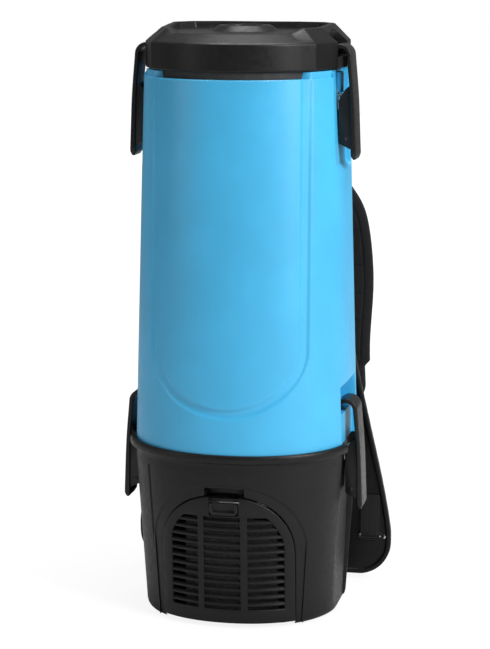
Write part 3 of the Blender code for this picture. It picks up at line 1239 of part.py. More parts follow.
def webbing_sweep(name, path, side):
    """A flat strip whose width swings from across the pad's end to level along X."""
    first = (path[1] - path[0]).normalized()
    start_across = Vector((-first.z, 0.0, first.x)).normalized()
    rings = []
    last = len(path) - 1
    for i, point in enumerate(path):
        along = (path[min(i + 1, last)] - path[max(i - 1, 0)]).normalized()
        share = min(max(i - 2, 0) / 8.0, 1.0)
        hint = start_across.lerp(Vector((1.0, 0.0, 0.0)), share)
        across = (hint - along * hint.dot(along)).normalized()
        out = across.cross(along)
        half = across * (0.5 * WEBBING_WIDTH)
        thin = out * (0.5 * WEBBING_THICKNESS)
        ring = [point - half - thin, point + half - thin, point + half + thin, point - half + thin]
        rings.append(mirrored(ring, side))
    return loft(name, rings, "webbing")


def flat_outline(width, thickness):
    half = 0.5 * width
    thin = 0.5 * thickness
    return [(-half, -thin), (half, -thin), (half, thin), (-half, thin)]


def strap_anchor():
    """Where a strap's webbing goes through the plate, and the direction of its width."""
    route = pad_route()
    toward = (route[0] - route[1]).normalized()
    level = Vector((toward.x, 0.0, toward.z)).normalized()
    across = Vector((level.z, 0.0, -level.x))
    return Vector((route[0].x, PLATE_BACK_Y, route[0].z)) + level * ANCHOR_REACH, across


def make_strap(tag, side):
    """One shoulder strap: pad, webbing above and below, and the ladder buckle."""
    make_shoulder_pad("shoulder_pad_" + tag, side)
    route = pad_route()
    start = route[0]
    toward = (route[0] - route[1]).normalized()
    anchor, across = strap_anchor()
    upper = [start + toward * STRAP_END_GAP, start + toward * 0.006, anchor + Vector((0.0, 0.0060, 0.0)),
             anchor, anchor - Vector((0.0, PLATE_THICKNESS + 0.0010, 0.0))]
    sweep("upper_webbing_" + tag, mirrored(upper, side), flat_outline(WEBBING_WIDTH, WEBBING_THICKNESS),
          "webbing", across=(side * across.x, across.y, across.z))
    end = route[-1]
    down = (route[-1] - route[-2]).normalized()
    slot_x = 0.5 * (SLOT_X[0] + SLOT_X[1])
    turn = 0.5 * (PLATE_THICKNESS + WEBBING_THICKNESS) + 2 * GAP
    turn_y = 0.5 * (PLATE_FRONT_Y + PLATE_BACK_Y)
    turn_z = SLOT_Z[1] - GAP
    buckle_top = end + down * BUCKLE_GAP
    buckle_end = buckle_top + down * BUCKLE_LENGTH
    make_buckle("ladder_buckle_" + tag, buckle_top, buckle_end, side)
    knots = [buckle_end + down * BUCKLE_GAP, *LOWER_WEBBING_KNOTS, (slot_x, turn_y + turn, turn_z)]
    lower = [end + down * STRAP_END_GAP, buckle_top, buckle_end] + smooth_route(knots, LOWER_WEBBING_POINTS)
    for share in (0.25, 0.5, 0.75, 1.0):
        angle = math.pi * share
        lower.append(Vector((slot_x, turn_y + turn * math.cos(angle), turn_z - turn * math.sin(angle))))
    lower.append(Vector((slot_x, turn_y - turn, turn_z + WEBBING_TAIL)))
    webbing_sweep("lower_webbing_" + tag, lower, side)


def make_buckle(name, start, end, side):
    """The flat ladder-lock buckle that the webbing runs through."""
    clear = 0.0010
    half = 0.5 * WEBBING_WIDTH + clear + BUCKLE_WALL
    thick = 0.5 * WEBBING_THICKNESS + clear
    middle = 0.5 * BUCKLE_THICKNESS + thick
    frame = flat_outline(2 * half, 2 * middle)
    window = flat_outline(2 * (half - BUCKLE_WALL), 2 * thick)
    beyond = 0.25 * (end - start)
    buckle = strap_sweep(name, mirrored([start, end], side), [frame, frame], "black_lever", side)
    cut(buckle, strap_sweep(name + "_way", mirrored([start - beyond, end + beyond], side), [window, window],
                            "black_lever", side))


# ------------------------------------------------------------------ the whole machine

def build():
    clear_scene()
    make_motor_housing()
    make_base_plate()
    make_filter_door()
    make_door_tab()
    make_motor()
    make_filters_below()
    make_switch()
    make_cord_gland()
    make_chamber_seal()
    make_dust_chamber()
    make_dust_bag()
    make_cloth_filter()
    make_lid()
    make_lid_gasket()
    make_inlet()
    for tag, side in (("right", 1), ("left", -1)):
        make_latch("upper_" + tag, LATCH_UPPER, side)
        make_latch("lower_" + tag, LATCH_LOWER, side)
        make_strap(tag, side)
    make_harness_plate()
    make_plate_screws()
    for name, values in (("back_pad", BACK_PAD), ("lumbar_pad", LUMBAR_PAD)):
        make_pad(name, values)


build()
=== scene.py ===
"""The looks of a backpack vacuum cleaner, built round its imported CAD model. Metres, +Z up.

The front of the machine looks towards -Y, and the harness is behind it, towards +Y. The sizes are
those of the CAD solids that the pieces stand for.
"""

import json
import math

import bmesh
import bpy
import numpy as np
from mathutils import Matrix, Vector


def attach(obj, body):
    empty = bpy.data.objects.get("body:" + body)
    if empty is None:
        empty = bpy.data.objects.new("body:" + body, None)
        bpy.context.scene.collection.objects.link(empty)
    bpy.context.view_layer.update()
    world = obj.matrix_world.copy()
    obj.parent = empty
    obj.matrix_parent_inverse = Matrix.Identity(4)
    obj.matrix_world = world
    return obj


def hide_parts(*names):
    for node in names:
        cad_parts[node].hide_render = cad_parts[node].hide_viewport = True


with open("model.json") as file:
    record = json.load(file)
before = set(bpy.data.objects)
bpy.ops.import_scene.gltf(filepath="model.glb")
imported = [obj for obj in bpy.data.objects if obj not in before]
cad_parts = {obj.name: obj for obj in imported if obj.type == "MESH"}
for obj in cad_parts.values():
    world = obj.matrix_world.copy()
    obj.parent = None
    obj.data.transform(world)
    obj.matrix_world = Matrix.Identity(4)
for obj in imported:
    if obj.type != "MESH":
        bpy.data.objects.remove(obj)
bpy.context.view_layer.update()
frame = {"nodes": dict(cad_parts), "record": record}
NODES = frame["nodes"]

# ------------------------------------------------------------------ sizes, as in the CAD model
FRONT_POWER = 2.15               # roundness of the front half of the body's outline
BACK_POWER = 4.0

CHAMBER_Z = 0.1732
CHAMBER_TOP_Z = 0.5385
CHAMBER_FOOT = (0.1082, 0.1010, 0.0900)       # half width, front and back
CHAMBER_TOP = (0.0978, 0.0935, 0.0850)
CHAMBER_WALL = 0.0030
CHAMBER_FLOOR = 0.0035
OUTLET_RADIUS = 0.0500
COLLAR = (0.0958, 0.0914, 0.0838)
MOUTH = (0.0868, 0.0900, 0.0812)
FRONT_DIP = 0.0065
FRONT_DIP_HALF_WIDTH = 0.0765
GROOVE_LEG_X = 0.0735
GROOVE_BOTTOM_Z = 0.2137
GROOVE_BEND_HEIGHT = 0.0600
GROOVE_HALF_WIDTH = 0.0052
GROOVE_DEPTH = 0.0019

DECK_HEIGHT = 0.1700
HOUSING_FOOT = (0.0980, 0.0940, 0.0850)
HOUSING_NECK = (0.1085, 0.1005, 0.0900)
NECK_Z = 0.1550
HOUSING_WALL = 0.0030
SKIRT_LIFT = 0.0012
RIM_TOP_Z = 0.1745
RIM = (0.1147, 0.1039, 0.0929)

LID_Z = 0.5393
LID_WALL_TOP_Z = 0.5660
LID_ROOF_Z = 0.5740
LID_SIDE_RISE = 0.0045
LID_REAR_RISE = 0.0023
DISH_Z = 0.5738
BOSS_TOP_Z = 0.5800

LATCHES = {"upper": (0.0955, 0.5515), "lower": (0.1046, 0.2045)}      # x and z of the hook's centre
LEVER_WIDTH = 0.0310
LEVER_THICKNESS = 0.0045
ARCH_RADIUS = 0.0115
LEVER_LENGTH = 0.1012
LEVER_LEAN = 0.0055
BAIL_HINGE = (-0.0005, -0.0395)
BAIL_RIVET = (0.0055, -0.0800)
BAIL_RADIUS = 0.0012
BARREL_RADIUS = 0.0026
POCKET_HALF_WIDTH = 0.0320
HOOK_NOTCH_HALF_WIDTH = 0.0185
SHELF_DROP = 0.0005
SHELF_REACH_U = -0.0010
HOOK_CLEARANCE = 0.0045
UPPER_POCKET_BOTTOM = 0.4483
UPPER_POCKET_SLOPE = 0.8
LOWER_POCKET_TOP = 0.2220
LOWER_POCKET_SLOPE = 1.5         # flat enough for the hook to swing out under it
BRACKET_BOTTOM_Z = 0.1530

DOOR_HALF_WIDTH = 0.0660
DOOR_BOTTOM = 0.0048
DOOR_SPRINGING = 0.0700
DOOR_TOP = 0.1330
DOOR_ARCH_POWER = 2.30
DOOR_PROUD = 0.0010
DOOR_WALL = 0.0035
DOOR_CLEARANCE = 0.0010
WINDOWS = ((-0.0545, -0.0265), (-0.0205, 0.0155), (0.0225, 0.0565))
WINDOW_BOTTOM = 0.0190
WINDOW_TOP = 0.1120
WINDOW_MARGIN = 0.0085
SLAT_PITCH = 0.0076
TAB_BOTTOM = 0.1150
HOOD_HALF_WIDTH = 0.0195
HOOD_TOP = 0.1405
HOOD_DEPTH = 0.0120

PLATE_FRONT_Y = 0.0985
PLATE_BACK_Y = 0.1025

# ------------------------------------------------------------------ camera
CAMERA_PLACE = (0.4366, -2.0541, 0.6620)
CAMERA_TILT = math.radians(90 - 10.2)
CAMERA_TURN = math.radians(12.0)
CAMERA_LENS = 118.93


def in_scene(name, data):
    """A new object in the scene."""
    thing = bpy.data.objects.new(name, data)
    bpy.context.scene.collection.objects.link(thing)
    return thing


camera_data = bpy.data.cameras.new("camera")
camera_data.lens = CAMERA_LENS
camera_data.sensor_width = 36.0
camera_data.clip_end = 50.0
camera = in_scene("camera", camera_data)
camera.location = CAMERA_PLACE
camera.rotation_euler = (CAMERA_TILT, 0.0, CAMERA_TURN)
bpy.context.scene.camera = camera
bpy.context.scene.view_settings.view_transform = "Standard"


# ------------------------------------------------------------------ shader trees
class Tree:
    """The node tree of a world or a material, with short ways to add nodes and feed their sockets."""

    def __init__(self, owner, bare=True):
        owner.use_nodes = True
        self.nodes, self.links = owner.node_tree.nodes, owner.node_tree.links
        if bare:
            self.nodes.clear()

    def feed(self, socket, value):
        if isinstance(value, bpy.types.NodeSocket):
            self.links.new(value, socket)
        else:
            socket.default_value = value

    def set(self, node, **values):
        for key, value in values.items():
            self.feed(node.inputs[key.replace("_", " ")], value)

    def add(self, kind, *inputs, operation=None, **values):
        """A node whose first sockets take inputs, in their order, and whose named ones take values."""
        node = self.nodes.new("ShaderNode" + kind)
        if operation:
            node.operation = operation
        for socket, value in zip(node.inputs, inputs):
            self.feed(socket, value)
        self.set(node, **values)
        return node

    def math(self, operation, *values):
        return self.add("Math", *values, operation=operation).outputs[0]

    def camera_ray(self):
        return self.add("LightPath").outputs["Is Camera Ray"]


# ------------------------------------------------------------------ lamps, floor and backdrop
AMBIENT = 0.24
FLOOR_GREY = 0.60
FLOOR_GLOW = 1.12
FLOOR_FADE = {"From_Min": 0.30, "From_Max": 1.30, "To_Min": 0.78, "To_Max": 1.0}
FLOOR_HALF = 6.0


def soft_lamp(name, place, target, size, power):
    data = bpy.data.lights.new(name, "AREA")
    data.shape = "RECTANGLE"
    data.size, data.size_y = size
    data.energy = power
    lamp = in_scene(name, data)
    lamp.location = place
    lamp.rotation_euler = (Vector(target) - Vector(place)).to_track_quat("-Z", "Y").to_euler()


soft_lamp("key_lamp", (1.9, -1.0, 1.50), (0.0, 0.0, 0.40), (0.9, 1.5), 72.0)
soft_lamp("fill_lamp", (-1.7, -1.3, 1.0), (0.0, 0.0, 0.30), (0.7, 1.4), 6.0)
soft_lamp("top_lamp", (0.0, 0.2, 2.3), (0.0, 0.0, 0.3), (1.4, 1.0), 42.0)


def make_world():
    """Even studio light, and plain white where the camera looks past the object."""
    world = bpy.data.worlds.new("studio")
    tree = Tree(world)
    light, seen = (tree.add("Background", (1.0, 1.0, 1.0, 1.0), strength).outputs[0]
                   for strength in (AMBIENT, 1.0))
    mix = tree.add("MixShader", tree.camera_ray(), light, seen)
    tree.add("OutputWorld", mix.outputs[0])
    bpy.context.scene.world = world


def make_floor():
    """A pale sheet under the object, nearly white to the camera so that only a soft shadow shows."""
    mesh = bpy.data.meshes.new("floor")
    corners = [(x * FLOOR_HALF, y * FLOOR_HALF, 0.0) for x, y in ((-1, -1), (1, -1), (1, 1), (-1, 1))]
    mesh.from_pydata(corners, [], [(0, 1, 2, 3)])
    floor = in_scene("floor", mesh)
    surface = bpy.data.materials.new("pale_floor")
    tree = Tree(surface)
    away = tree.add("VectorMath", tree.add("TexCoord").outputs["Object"], operation="LENGTH")
    fade = tree.add("MapRange", Value=away.outputs["Value"], **FLOOR_FADE)
    share = tree.math("MULTIPLY", tree.camera_ray(), fade.outputs[0])
    paint = tree.add("BsdfDiffuse", (FLOOR_GREY, FLOOR_GREY, FLOOR_GREY, 1.0))
    white = tree.add("Emission", Strength=FLOOR_GLOW)
    mix = tree.add("MixShader", share, paint.outputs[0], white.outputs[0])
    tree.add("OutputMaterial", mix.outputs[0])
    mesh.materials.append(surface)


make_world()
make_floor()


# ------------------------------------------------------------------ mesh helpers
def smooth_step(low, high, value):
    """0 below low, 1 above high, and 3t^2 - 2t^3 between them."""
    share = np.clip((value - low) / (high - low), 0.0, 1.0)
    return share * share * (3.0 - 2.0 * share)


def capped(value, limit):
    """A value kept within +-limit."""
    return np.sign(value) * np.minimum(np.abs(value), limit)


def points_at(x, y, z):
    """Points from coordinates that are spread to one shape."""
    return np.stack(np.broadcast_arrays(x, y, z), axis=-1)


def grid_faces(rows, columns, start=0, round_rows=False, round_columns=False):
    """Quads between neighbouring grid points; a round direction joins its last line to its first.

    The two ends of a grid that is round in one direction only are closed with flat faces.
    """
    row = np.arange(rows if round_rows else rows - 1)[:, None]
    column = np.arange(columns if round_columns else columns - 1)[None, :]
    next_row = (row + 1) % rows
    next_column = (column + 1) % columns
    quads = np.stack([row * columns + column, row * columns + next_column,
                      next_row * columns + next_column, next_row * columns + column], axis=-1)
    faces = (quads.reshape(-1, 4) + start).tolist()
    end = start + rows * columns
    if round_columns and not round_rows:
        faces.append(list(range(start, start + columns))[::-1])
        faces.append(list(range(end - columns, end)))
    if round_rows and not round_columns:
        faces.append(list(range(start, end, columns)))
        faces.append(list(range(start + columns - 1, end, columns))[::-1])
    return faces


def cleaned(mesh, doubles=None, degenerate=None, flat=None):
    """Merges doubles, dissolves what has no area or no angle, and turns every face outwards."""
    shape = bmesh.new()
    shape.from_mesh(mesh)
    if doubles:
        bmesh.ops.remove_doubles(shape, verts=shape.verts, dist=doubles)
    if degenerate:
        bmesh.ops.dissolve_degenerate(shape, edges=shape.edges, dist=degenerate)
    if flat:
        bmesh.ops.dissolve_limit(shape, angle_limit=flat, verts=shape.verts, edges=shape.edges)
    bmesh.ops.recalc_face_normals(shape, faces=shape.faces)
    shape.to_mesh(mesh)
    shape.free()


def finished(piece, finish, body="", nodes=()):
    """Gives a piece its material and slot, its body and the CAD nodes that it stands for."""
    piece.data.materials.clear()
    piece.data.materials.append(FINISHES[finish])
    if body:
        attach(piece, body)
    if nodes:
        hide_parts(*nodes)
    return piece


def make_piece(name, parts, finish, *nodes, body="machine", smooth_angle=32.0, maps=None):
    """One mesh object from several grids, which rides on a body and stands for CAD nodes.

    parts holds (points, round_rows, round_columns) with points as rows x columns x 3, and maps a
    flat map in metres for each of them.
    """
    faces = []
    count = 0
    for grid, round_rows, round_columns in parts:
        rows, columns = grid.shape[:2]
        faces += grid_faces(rows, columns, count, round_rows, round_columns)
        count += rows * columns
    mesh = bpy.data.meshes.new(name)
    mesh.from_pydata(np.concatenate([part[0].reshape(-1, 3) for part in parts]).tolist(), [], faces)
    if maps is not None:
        index = np.zeros(len(mesh.loops), np.int32)
        mesh.loops.foreach_get("vertex_index", index)
        layer = mesh.uv_layers.new(name="cloth")
        coords = np.concatenate([part.reshape(-1, 2) for part in maps])
        layer.data.foreach_set("uv", coords[index].astype(np.float32).ravel())
    cleaned(mesh, 1e-6, 1e-7)
    mesh.shade_smooth()
    mesh.set_sharp_from_angle(angle=math.radians(smooth_angle))
    return finished(in_scene(name, mesh), finish, body, nodes)


def softened(node, name, finish, width, segments=2, body="machine"):
    """A merged copy of a CAD node with its edges rounded, which stands for that node."""
    mesh = NODES[node].data.copy()
    mesh.name = name
    cleaned(mesh, 1e-5, flat=math.radians(1.0))
    piece = in_scene(name, mesh)
    round_edges = piece.modifiers.new("round_edges", "BEVEL")
    round_edges.width = width
    round_edges.segments = segments
    round_edges.limit_method = "ANGLE"
    round_edges.angle_limit = math.radians(30.0)
    round_edges.use_clamp_overlap = True
    round_edges.harden_normals = True
    mesh.shade_smooth()
    return finished(piece, finish, body, (node,))


def turned(profile, count):
    """A profile of (radius, height) turned about the vertical axis: (r cos a, r sin a, z)."""
    profile = np.array(profile, float)
    angle = np.linspace(0.0, 2 * np.pi, count, endpoint=False)
    return points_at(profile[:, :1] * np.cos(angle), profile[:, :1] * np.sin(angle), profile[:, 1:])


def box_corners(x, z):
    """The corners of an upright rectangle, as (x, z)."""
    return [(x[0], z[0]), (x[1], z[0]), (x[1], z[1]), (x[0], z[1])]


def rounded_profile(points, radius, steps=5, closed=True):
    """A polygon with its corners rounded: each corner is a quadratic curve from one leg to the next."""
    points = np.array(points, float)
    count = len(points)
    result = []
    share = np.linspace(0.0, 1.0, steps)[:, None]
    for i, corner in enumerate(points):
        if not closed and i in (0, count - 1):
            result.append(corner[None])
            continue
        before = points[i - 1]
        after = points[(i + 1) % count]
        reach_in = min(radius, 0.45 * np.linalg.norm(before - corner))
        reach_out = min(radius, 0.45 * np.linalg.norm(after - corner))
        start = corner + (before - corner) / np.linalg.norm(before - corner) * reach_in
        end = corner + (after - corner) / np.linalg.norm(after - corner) * reach_out
        result.append((1 - share) ** 2 * start + 2 * share * (1 - share) * corner + share ** 2 * end)
    return np.concatenate(result)


def smooth_path(knots, count):
    """A Catmull-Rom curve through the knots, sampled at even steps of its length."""
    knots = np.array(knots, float)
    knots = np.concatenate([2 * knots[:1] - knots[1:2], knots, 2 * knots[-1:] - knots[-2:-1]])
    spans = len(knots) - 3
    place = np.linspace(0.0, spans, 40 * spans + 1)
    k = np.minimum(place.astype(int), spans - 1)
    t = (place - k)[:, None]
    a, b, c, d = knots[k], knots[k + 1], knots[k + 2], knots[k + 3]
    dense = 0.5 * (2 * b + (c - a) * t + (2 * a - 5 * b + 4 * c - d) * t ** 2
                   + (3 * b - a - 3 * c + d) * t ** 3)
    return evenly(dense, count)


def sampled(path, place):
    """A path read at places along its length."""
    length = path_length(path)
    return np.stack([np.interp(place, length, path[:, k]) for k in range(path.shape[1])], axis=-1)


def evenly(path, count):
    """A path sampled anew at even steps of its length."""
    return sampled(path, np.linspace(0.0, path_length(path)[-1], count))


def path_length(path):
    steps = np.linalg.norm(np.diff(path, axis=0), axis=1)
    return np.concatenate([[0.0], np.cumsum(steps)])


def path_frames(path, hint):
    """Across and up at each point of a path, with across as near to the hint as it can be."""
    along = np.gradient(path, axis=0)
    along /= np.linalg.norm(along, axis=1, keepdims=True)
    hint = np.broadcast_to(np.array(hint, float), path.shape)
    across = hint - along * np.sum(hint * along, axis=1, keepdims=True)
    across /= np.linalg.norm(across, axis=1, keepdims=True)
    return across, np.cross(along, across)


def carried(path, section, hint):
    """A section, or one section per point, carried along a path: p + across a + up b."""
    across, up = path_frames(path, hint)
    section = np.broadcast_to(section, (len(path), *np.shape(section)[-2:]))
    return path[:, None] + across[:, None] * section[..., :1] + up[:, None] * section[..., 1:]


def circle(radius, count):
    angle = np.linspace(0.0, 2 * np.pi, count, endpoint=False)
    return radius * np.stack([np.cos(angle), np.sin(angle)], axis=-1)


def noise_field(u, v, seed, waves=7, low=1.0, high=4.0):
    """A smooth random field: the mean of sines of random direction, length and phase."""
    random = np.random.default_rng(seed)
    total = np.zeros(np.broadcast(u, v).shape)
    for _ in range(waves):
        turn = random.uniform(0.0, 2 * np.pi)
        rate = random.uniform(low, high) * 2 * np.pi
        total += np.sin(rate * (u * math.cos(turn) + v * math.sin(turn)) + random.uniform(0.0, 2 * np.pi))
    return total / waves


# ------------------------------------------------------------------ finishes
class Finish(Tree):
    """A material under construction: a Principled shader and short ways to feed it."""

    def __init__(self, name, colour, roughness, **sockets):
        self.material = bpy.data.materials.new(name)
        super().__init__(self.material, bare=False)
        self.shader = self.nodes["Principled BSDF"]
        self.set(self.shader, Base_Color=(*colour, 1.0), Roughness=roughness, **sockets)
        self.height = None
        self.coords = self.add("TexCoord")

    def place(self, scale=(1.0, 1.0, 1.0)):
        """Object coordinates in metres, stretched by scale."""
        return self.add("Mapping", Vector=self.coords.outputs["Object"], Scale=scale).outputs[0]

    def noise(self, size, detail=3.0, roughness=0.55, scale=(1.0, 1.0, 1.0)):
        """Noise whose lumps are about size metres across, from 0 to 1."""
        node = self.add("TexNoise", Vector=self.place(scale), Scale=1.0 / size, Detail=detail,
                        Roughness=roughness)
        return node.outputs["Fac"]

    def cells(self, size):
        """Distance to the middle of the nearest cell, for cells about size metres across."""
        return self.add("TexVoronoi", Vector=self.place(), Scale=1.0 / size).outputs["Distance"]

    def cloth_map(self):
        """The piece's own flat map in metres: across and along."""
        split = self.add("SeparateXYZ", Vector=self.coords.outputs["UV"])
        return split.outputs["X"], split.outputs["Y"]

    def ripple(self, value, length):
        """A sine wave of the given length in metres."""
        return self.math("SINE", self.math("MULTIPLY", value, 2.0 * math.pi / length))

    def spread(self, value, low, high, from_low=0.3, from_high=0.7):
        """A value carried from one range to another."""
        return self.add("MapRange", Value=value, From_Min=from_low, From_Max=from_high, To_Min=low,
                        To_Max=high).outputs[0]

    def tint(self, share, colour):
        """Carries the base colour towards another by a share."""
        mix = self.nodes.new("ShaderNodeMix")
        mix.data_type = "RGBA"
        factor, _, _, _, _, _, first, second = mix.inputs[:8]
        old = self.shader.inputs["Base Color"]
        self.feed(first, old.links[0].from_socket if old.links else old.default_value)
        self.feed(second, (*colour, 1.0))
        self.feed(factor, share)
        self.feed(old, mix.outputs[2])

    def rough(self, value):
        self.set(self.shader, Roughness=value)

    def bump(self, height, strength, distance):
        """A bump on top of the ones before it."""
        below = {} if self.height is None else {"Normal": self.height}
        node = self.add("Bump", Height=height, Strength=strength, Distance=distance, **below)
        self.height = node.outputs[0]
        self.set(self.shader, Normal=self.height)


def shade(colour, factor):
    return tuple(min(value * factor, 1.0) for value in colour)


def moulded_blue():
    """Satin-gloss moulded plastic: fine grain, faint flow marks and a few soft rub marks."""
    colour = (0.048, 0.405, 0.700)
    made = Finish("moulded_blue", colour, 0.36, Specular_IOR_Level=0.6)
    made.tint(made.spread(made.noise(0.055, 2.0), 0.0, 1.0), shade(colour, 0.90))
    rubs = made.noise(0.030, 3.0, 0.6, scale=(1.0, 1.0, 0.25))
    made.tint(made.spread(rubs, 0.0, 0.08, 0.50, 0.75), shade(colour, 1.25))
    made.rough(made.spread(made.noise(0.006, 4.0), 0.33, 0.44))
    made.bump(made.noise(0.0011, 2.0), 0.10, 0.0002)
    made.bump(made.noise(0.030, 1.0), 0.10, 0.0012)
    return made.material


def textured_black(name, colour, roughness, gloss, grain, strength):
    """Spark-textured moulded plastic, a little greyer where it has been rubbed."""
    made = Finish(name, colour, roughness, Specular_IOR_Level=gloss)
    made.tint(made.spread(made.noise(0.040, 3.0), 0.0, 1.0), shade(colour, 0.72))
    rubs = made.noise(0.009, 6.0, 0.72, scale=(1.0, 1.0, 0.4))
    made.tint(made.spread(rubs, 0.0, 0.35, 0.58, 0.80), shade(colour, 3.0))
    made.rough(made.spread(made.noise(0.005, 4.0), roughness - 0.07, roughness + 0.09))
    made.bump(made.cells(grain), strength, 0.00025)
    made.bump(made.noise(grain * 0.6, 2.0), strength * 0.6, 0.0002)
    return made.material


def soft_rubber():
    made = Finish("soft_rubber", (0.016, 0.016, 0.016), 0.72)
    made.tint(made.spread(made.noise(0.008, 4.0), 0.0, 0.6), (0.034, 0.033, 0.032))
    made.bump(made.noise(0.0007, 3.0), 0.25, 0.0002)
    return made.material


def drawn_metal(name, colour, roughness, along):
    """Metal with fine drawing lines along one axis, and duller patches."""
    made = Finish(name, colour, roughness, Metallic=1.0)
    lines = made.noise(0.0006, 2.0, scale=along)
    made.rough(made.spread(made.noise(0.004, 4.0), roughness - 0.06, roughness + 0.14))
    made.tint(made.spread(made.noise(0.010, 4.0), 0.0, 0.5), shade(colour, 0.70))
    made.bump(lines, 0.20, 0.0001)
    return made.material


def filter_paper():
    made = Finish("filter_paper", (0.62, 0.53, 0.38), 0.92)
    made.tint(made.spread(made.noise(0.0035, 6.0, 0.7, (1.0, 1.0, 0.2)), 0.0, 0.6), (0.72, 0.64, 0.48))
    made.bump(made.noise(0.0012, 5.0, 0.7), 0.35, 0.0003)
    made.bump(made.noise(0.018, 3.0), 0.5, 0.0020)
    return made.material


def felted_cloth():
    made = Finish("felted_cloth", (0.74, 0.74, 0.71), 0.95, Sheen_Weight=0.25)
    made.tint(made.spread(made.noise(0.0022, 5.0, 0.7, (1.0, 0.3, 1.0)), 0.0, 0.5), (0.58, 0.58, 0.56))
    made.bump(made.noise(0.0016, 5.0, 0.7), 0.5, 0.0005)
    return made.material


def open_foam():
    made = Finish("open_foam", (0.050, 0.050, 0.054), 0.95)
    cells = made.cells(0.0016)
    # painted shade: the pits at the cells' middles, which the bump below sinks, are darkened towards near
    # black
    made.tint(made.spread(cells, 0.8, 0.0, 0.1, 0.6), (0.014, 0.014, 0.015))
    made.bump(cells, 0.9, 0.0010)
    return made.material


def woven_nylon(name, colour, thread, depth, sheen):
    """Plain weave on the piece's own map in metres: warp and weft are two crossed rows of threads."""
    made = Finish(name, colour, 0.82, Sheen_Weight=sheen, Sheen_Roughness=0.45, Specular_IOR_Level=0.3)
    x, y = made.cloth_map()
    weave = made.math("MULTIPLY", made.ripple(x, thread), made.ripple(y, thread))
    height = made.math("MULTIPLY_ADD", weave, 0.5, 0.5)
    # painted shade: the low parts of the weave, where the bump below sinks between the threads, are darkened
    # towards a third of the colour
    made.tint(made.spread(height, 0.55, 0.0, 0.0, 1.0), shade(colour, 0.35))
    made.tint(made.spread(made.noise(0.022, 4.0), 0.0, 0.35), shade(colour, 1.9))
    made.bump(height, 0.55, depth)
    made.bump(made.noise(0.004, 3.0), 0.25, 0.0006)
    return made.material


def ribbed_webbing():
    """Webbing on its own map in metres: ribs along the strap, crossed by fine picks."""
    colour = (0.009, 0.009, 0.010)
    made = Finish("ribbed_webbing", colour, 0.70, Sheen_Weight=0.02, Specular_IOR_Level=0.3)
    x, y = made.cloth_map()
    ribs = made.ripple(x, 0.0016)
    slant = made.math("ADD", y, made.math("MULTIPLY", x, 0.6))
    picks = made.ripple(slant, 0.0011)
    height = made.math("ADD", made.math("MULTIPLY_ADD", ribs, 0.3, 0.5), made.math("MULTIPLY", picks, 0.2))
    # painted shade: the grooves between ribs and picks, low in the bump below, are darkened towards a third
    # of the colour
    made.tint(made.spread(height, 0.7, 0.0, 0.0, 1.0), shade(colour, 0.30))
    made.bump(height, 0.7, 0.0004)
    return made.material


def glossy_red():
    made = Finish("glossy_red", (0.45, 0.018, 0.014), 0.28)
    made.tint(made.spread(made.noise(0.006, 3.0), 0.0, 0.3), (0.36, 0.014, 0.012))
    made.bump(made.noise(0.0012, 2.0), 0.08, 0.0001)
    return made.material


FINISHES = {
    "blue_shell": moulded_blue(),
    "black_shell": textured_black("textured_black", (0.0062, 0.0062, 0.0060), 0.40, 0.26, 0.0011, 0.20),
    "black_lever": textured_black("satin_black", (0.0095, 0.0094, 0.0092), 0.34, 0.30, 0.0008, 0.10),
    "rubber": soft_rubber(),
    "steel": drawn_metal("zinc_steel", (0.62, 0.61, 0.58), 0.30, (1.0, 1.0, 0.05)),
    "aluminium": drawn_metal("spun_aluminium", (0.72, 0.73, 0.74), 0.34, (0.2, 0.2, 1.0)),
    "paper": filter_paper(),
    "filter_cloth": felted_cloth(),
    "foam": open_foam(),
    "padding": woven_nylon("quilted_nylon", (0.0050, 0.0050, 0.0058), 0.0011, 0.0004, 0.02),
    "webbing": ribbed_webbing(),
    "switch_red": glossy_red(),
}
for entry in frame["record"]["subparts"]:
    shown = NODES[entry["node"]]
    shown.data.materials.clear()
    shown.data.materials.append(FINISHES[entry["material_slot"]])


# ------------------------------------------------------------------ the body's outline
SIDE_EDGE = 0.0380               # the sides' columns run at fixed y from -SIDE_EDGE to SIDE_EDGE
POCKET_ROOM = 0.0003             # between a pocket's floor and the bracket's barrel
POCKET_COLUMNS = (0.0306, 0.0314, POCKET_HALF_WIDTH, 0.0322, 0.0326, 0.0330)
SIDE_COLUMNS = np.unique(np.concatenate([
    np.linspace(-SIDE_EDGE, -0.0335, 5), np.negative(POCKET_COLUMNS), np.linspace(-0.0290, 0.0290, 25),
    POCKET_COLUMNS, np.linspace(0.0335, SIDE_EDGE, 5)]))


def blend_sizes(low, high, share):
    """Half width, front and back at each share from one size to another, as three columns."""
    return [(a + (b - a) * share)[:, None] for a, b in zip(low, high)]


def chamber_size(z):
    share = (np.asarray(z, float) - CHAMBER_Z) / (CHAMBER_TOP_Z - CHAMBER_Z)
    return blend_sizes(CHAMBER_FOOT, CHAMBER_TOP, share)


def housing_size(z):
    return blend_sizes(HOUSING_FOOT, HOUSING_NECK, np.minimum(np.asarray(z, float) / NECK_Z, 1.0))


def fixed_size(size):
    """A size that doesn't change with the height, as three columns."""
    return [np.array([[value]]) for value in size]


def even_shares(size, power, start_y, count, focus=None):
    """Shares of the angle that space points evenly along half an outline, closer together near focus."""
    half_width, depth = size
    angle = np.linspace(np.arcsin((start_y / depth) ** (power / 2)), 0.5 * np.pi, 4000)
    x = half_width * np.abs(np.cos(angle)) ** (2 / power)
    y = depth * np.sin(angle) ** (2 / power)
    density = np.ones(len(angle) - 1)
    if focus:
        centre, reach, factor = focus
        density += factor * (np.abs(0.5 * (x[1:] + x[:-1]) - centre) < reach)
    weight = np.concatenate([[0.0], np.cumsum(np.hypot(np.diff(x), np.diff(y)) * density)])
    shares = np.interp(np.linspace(0.0, weight[-1], count), weight, np.linspace(0.0, 0.5, len(angle)))
    return np.concatenate([shares, 1.0 - shares[-2::-1]])


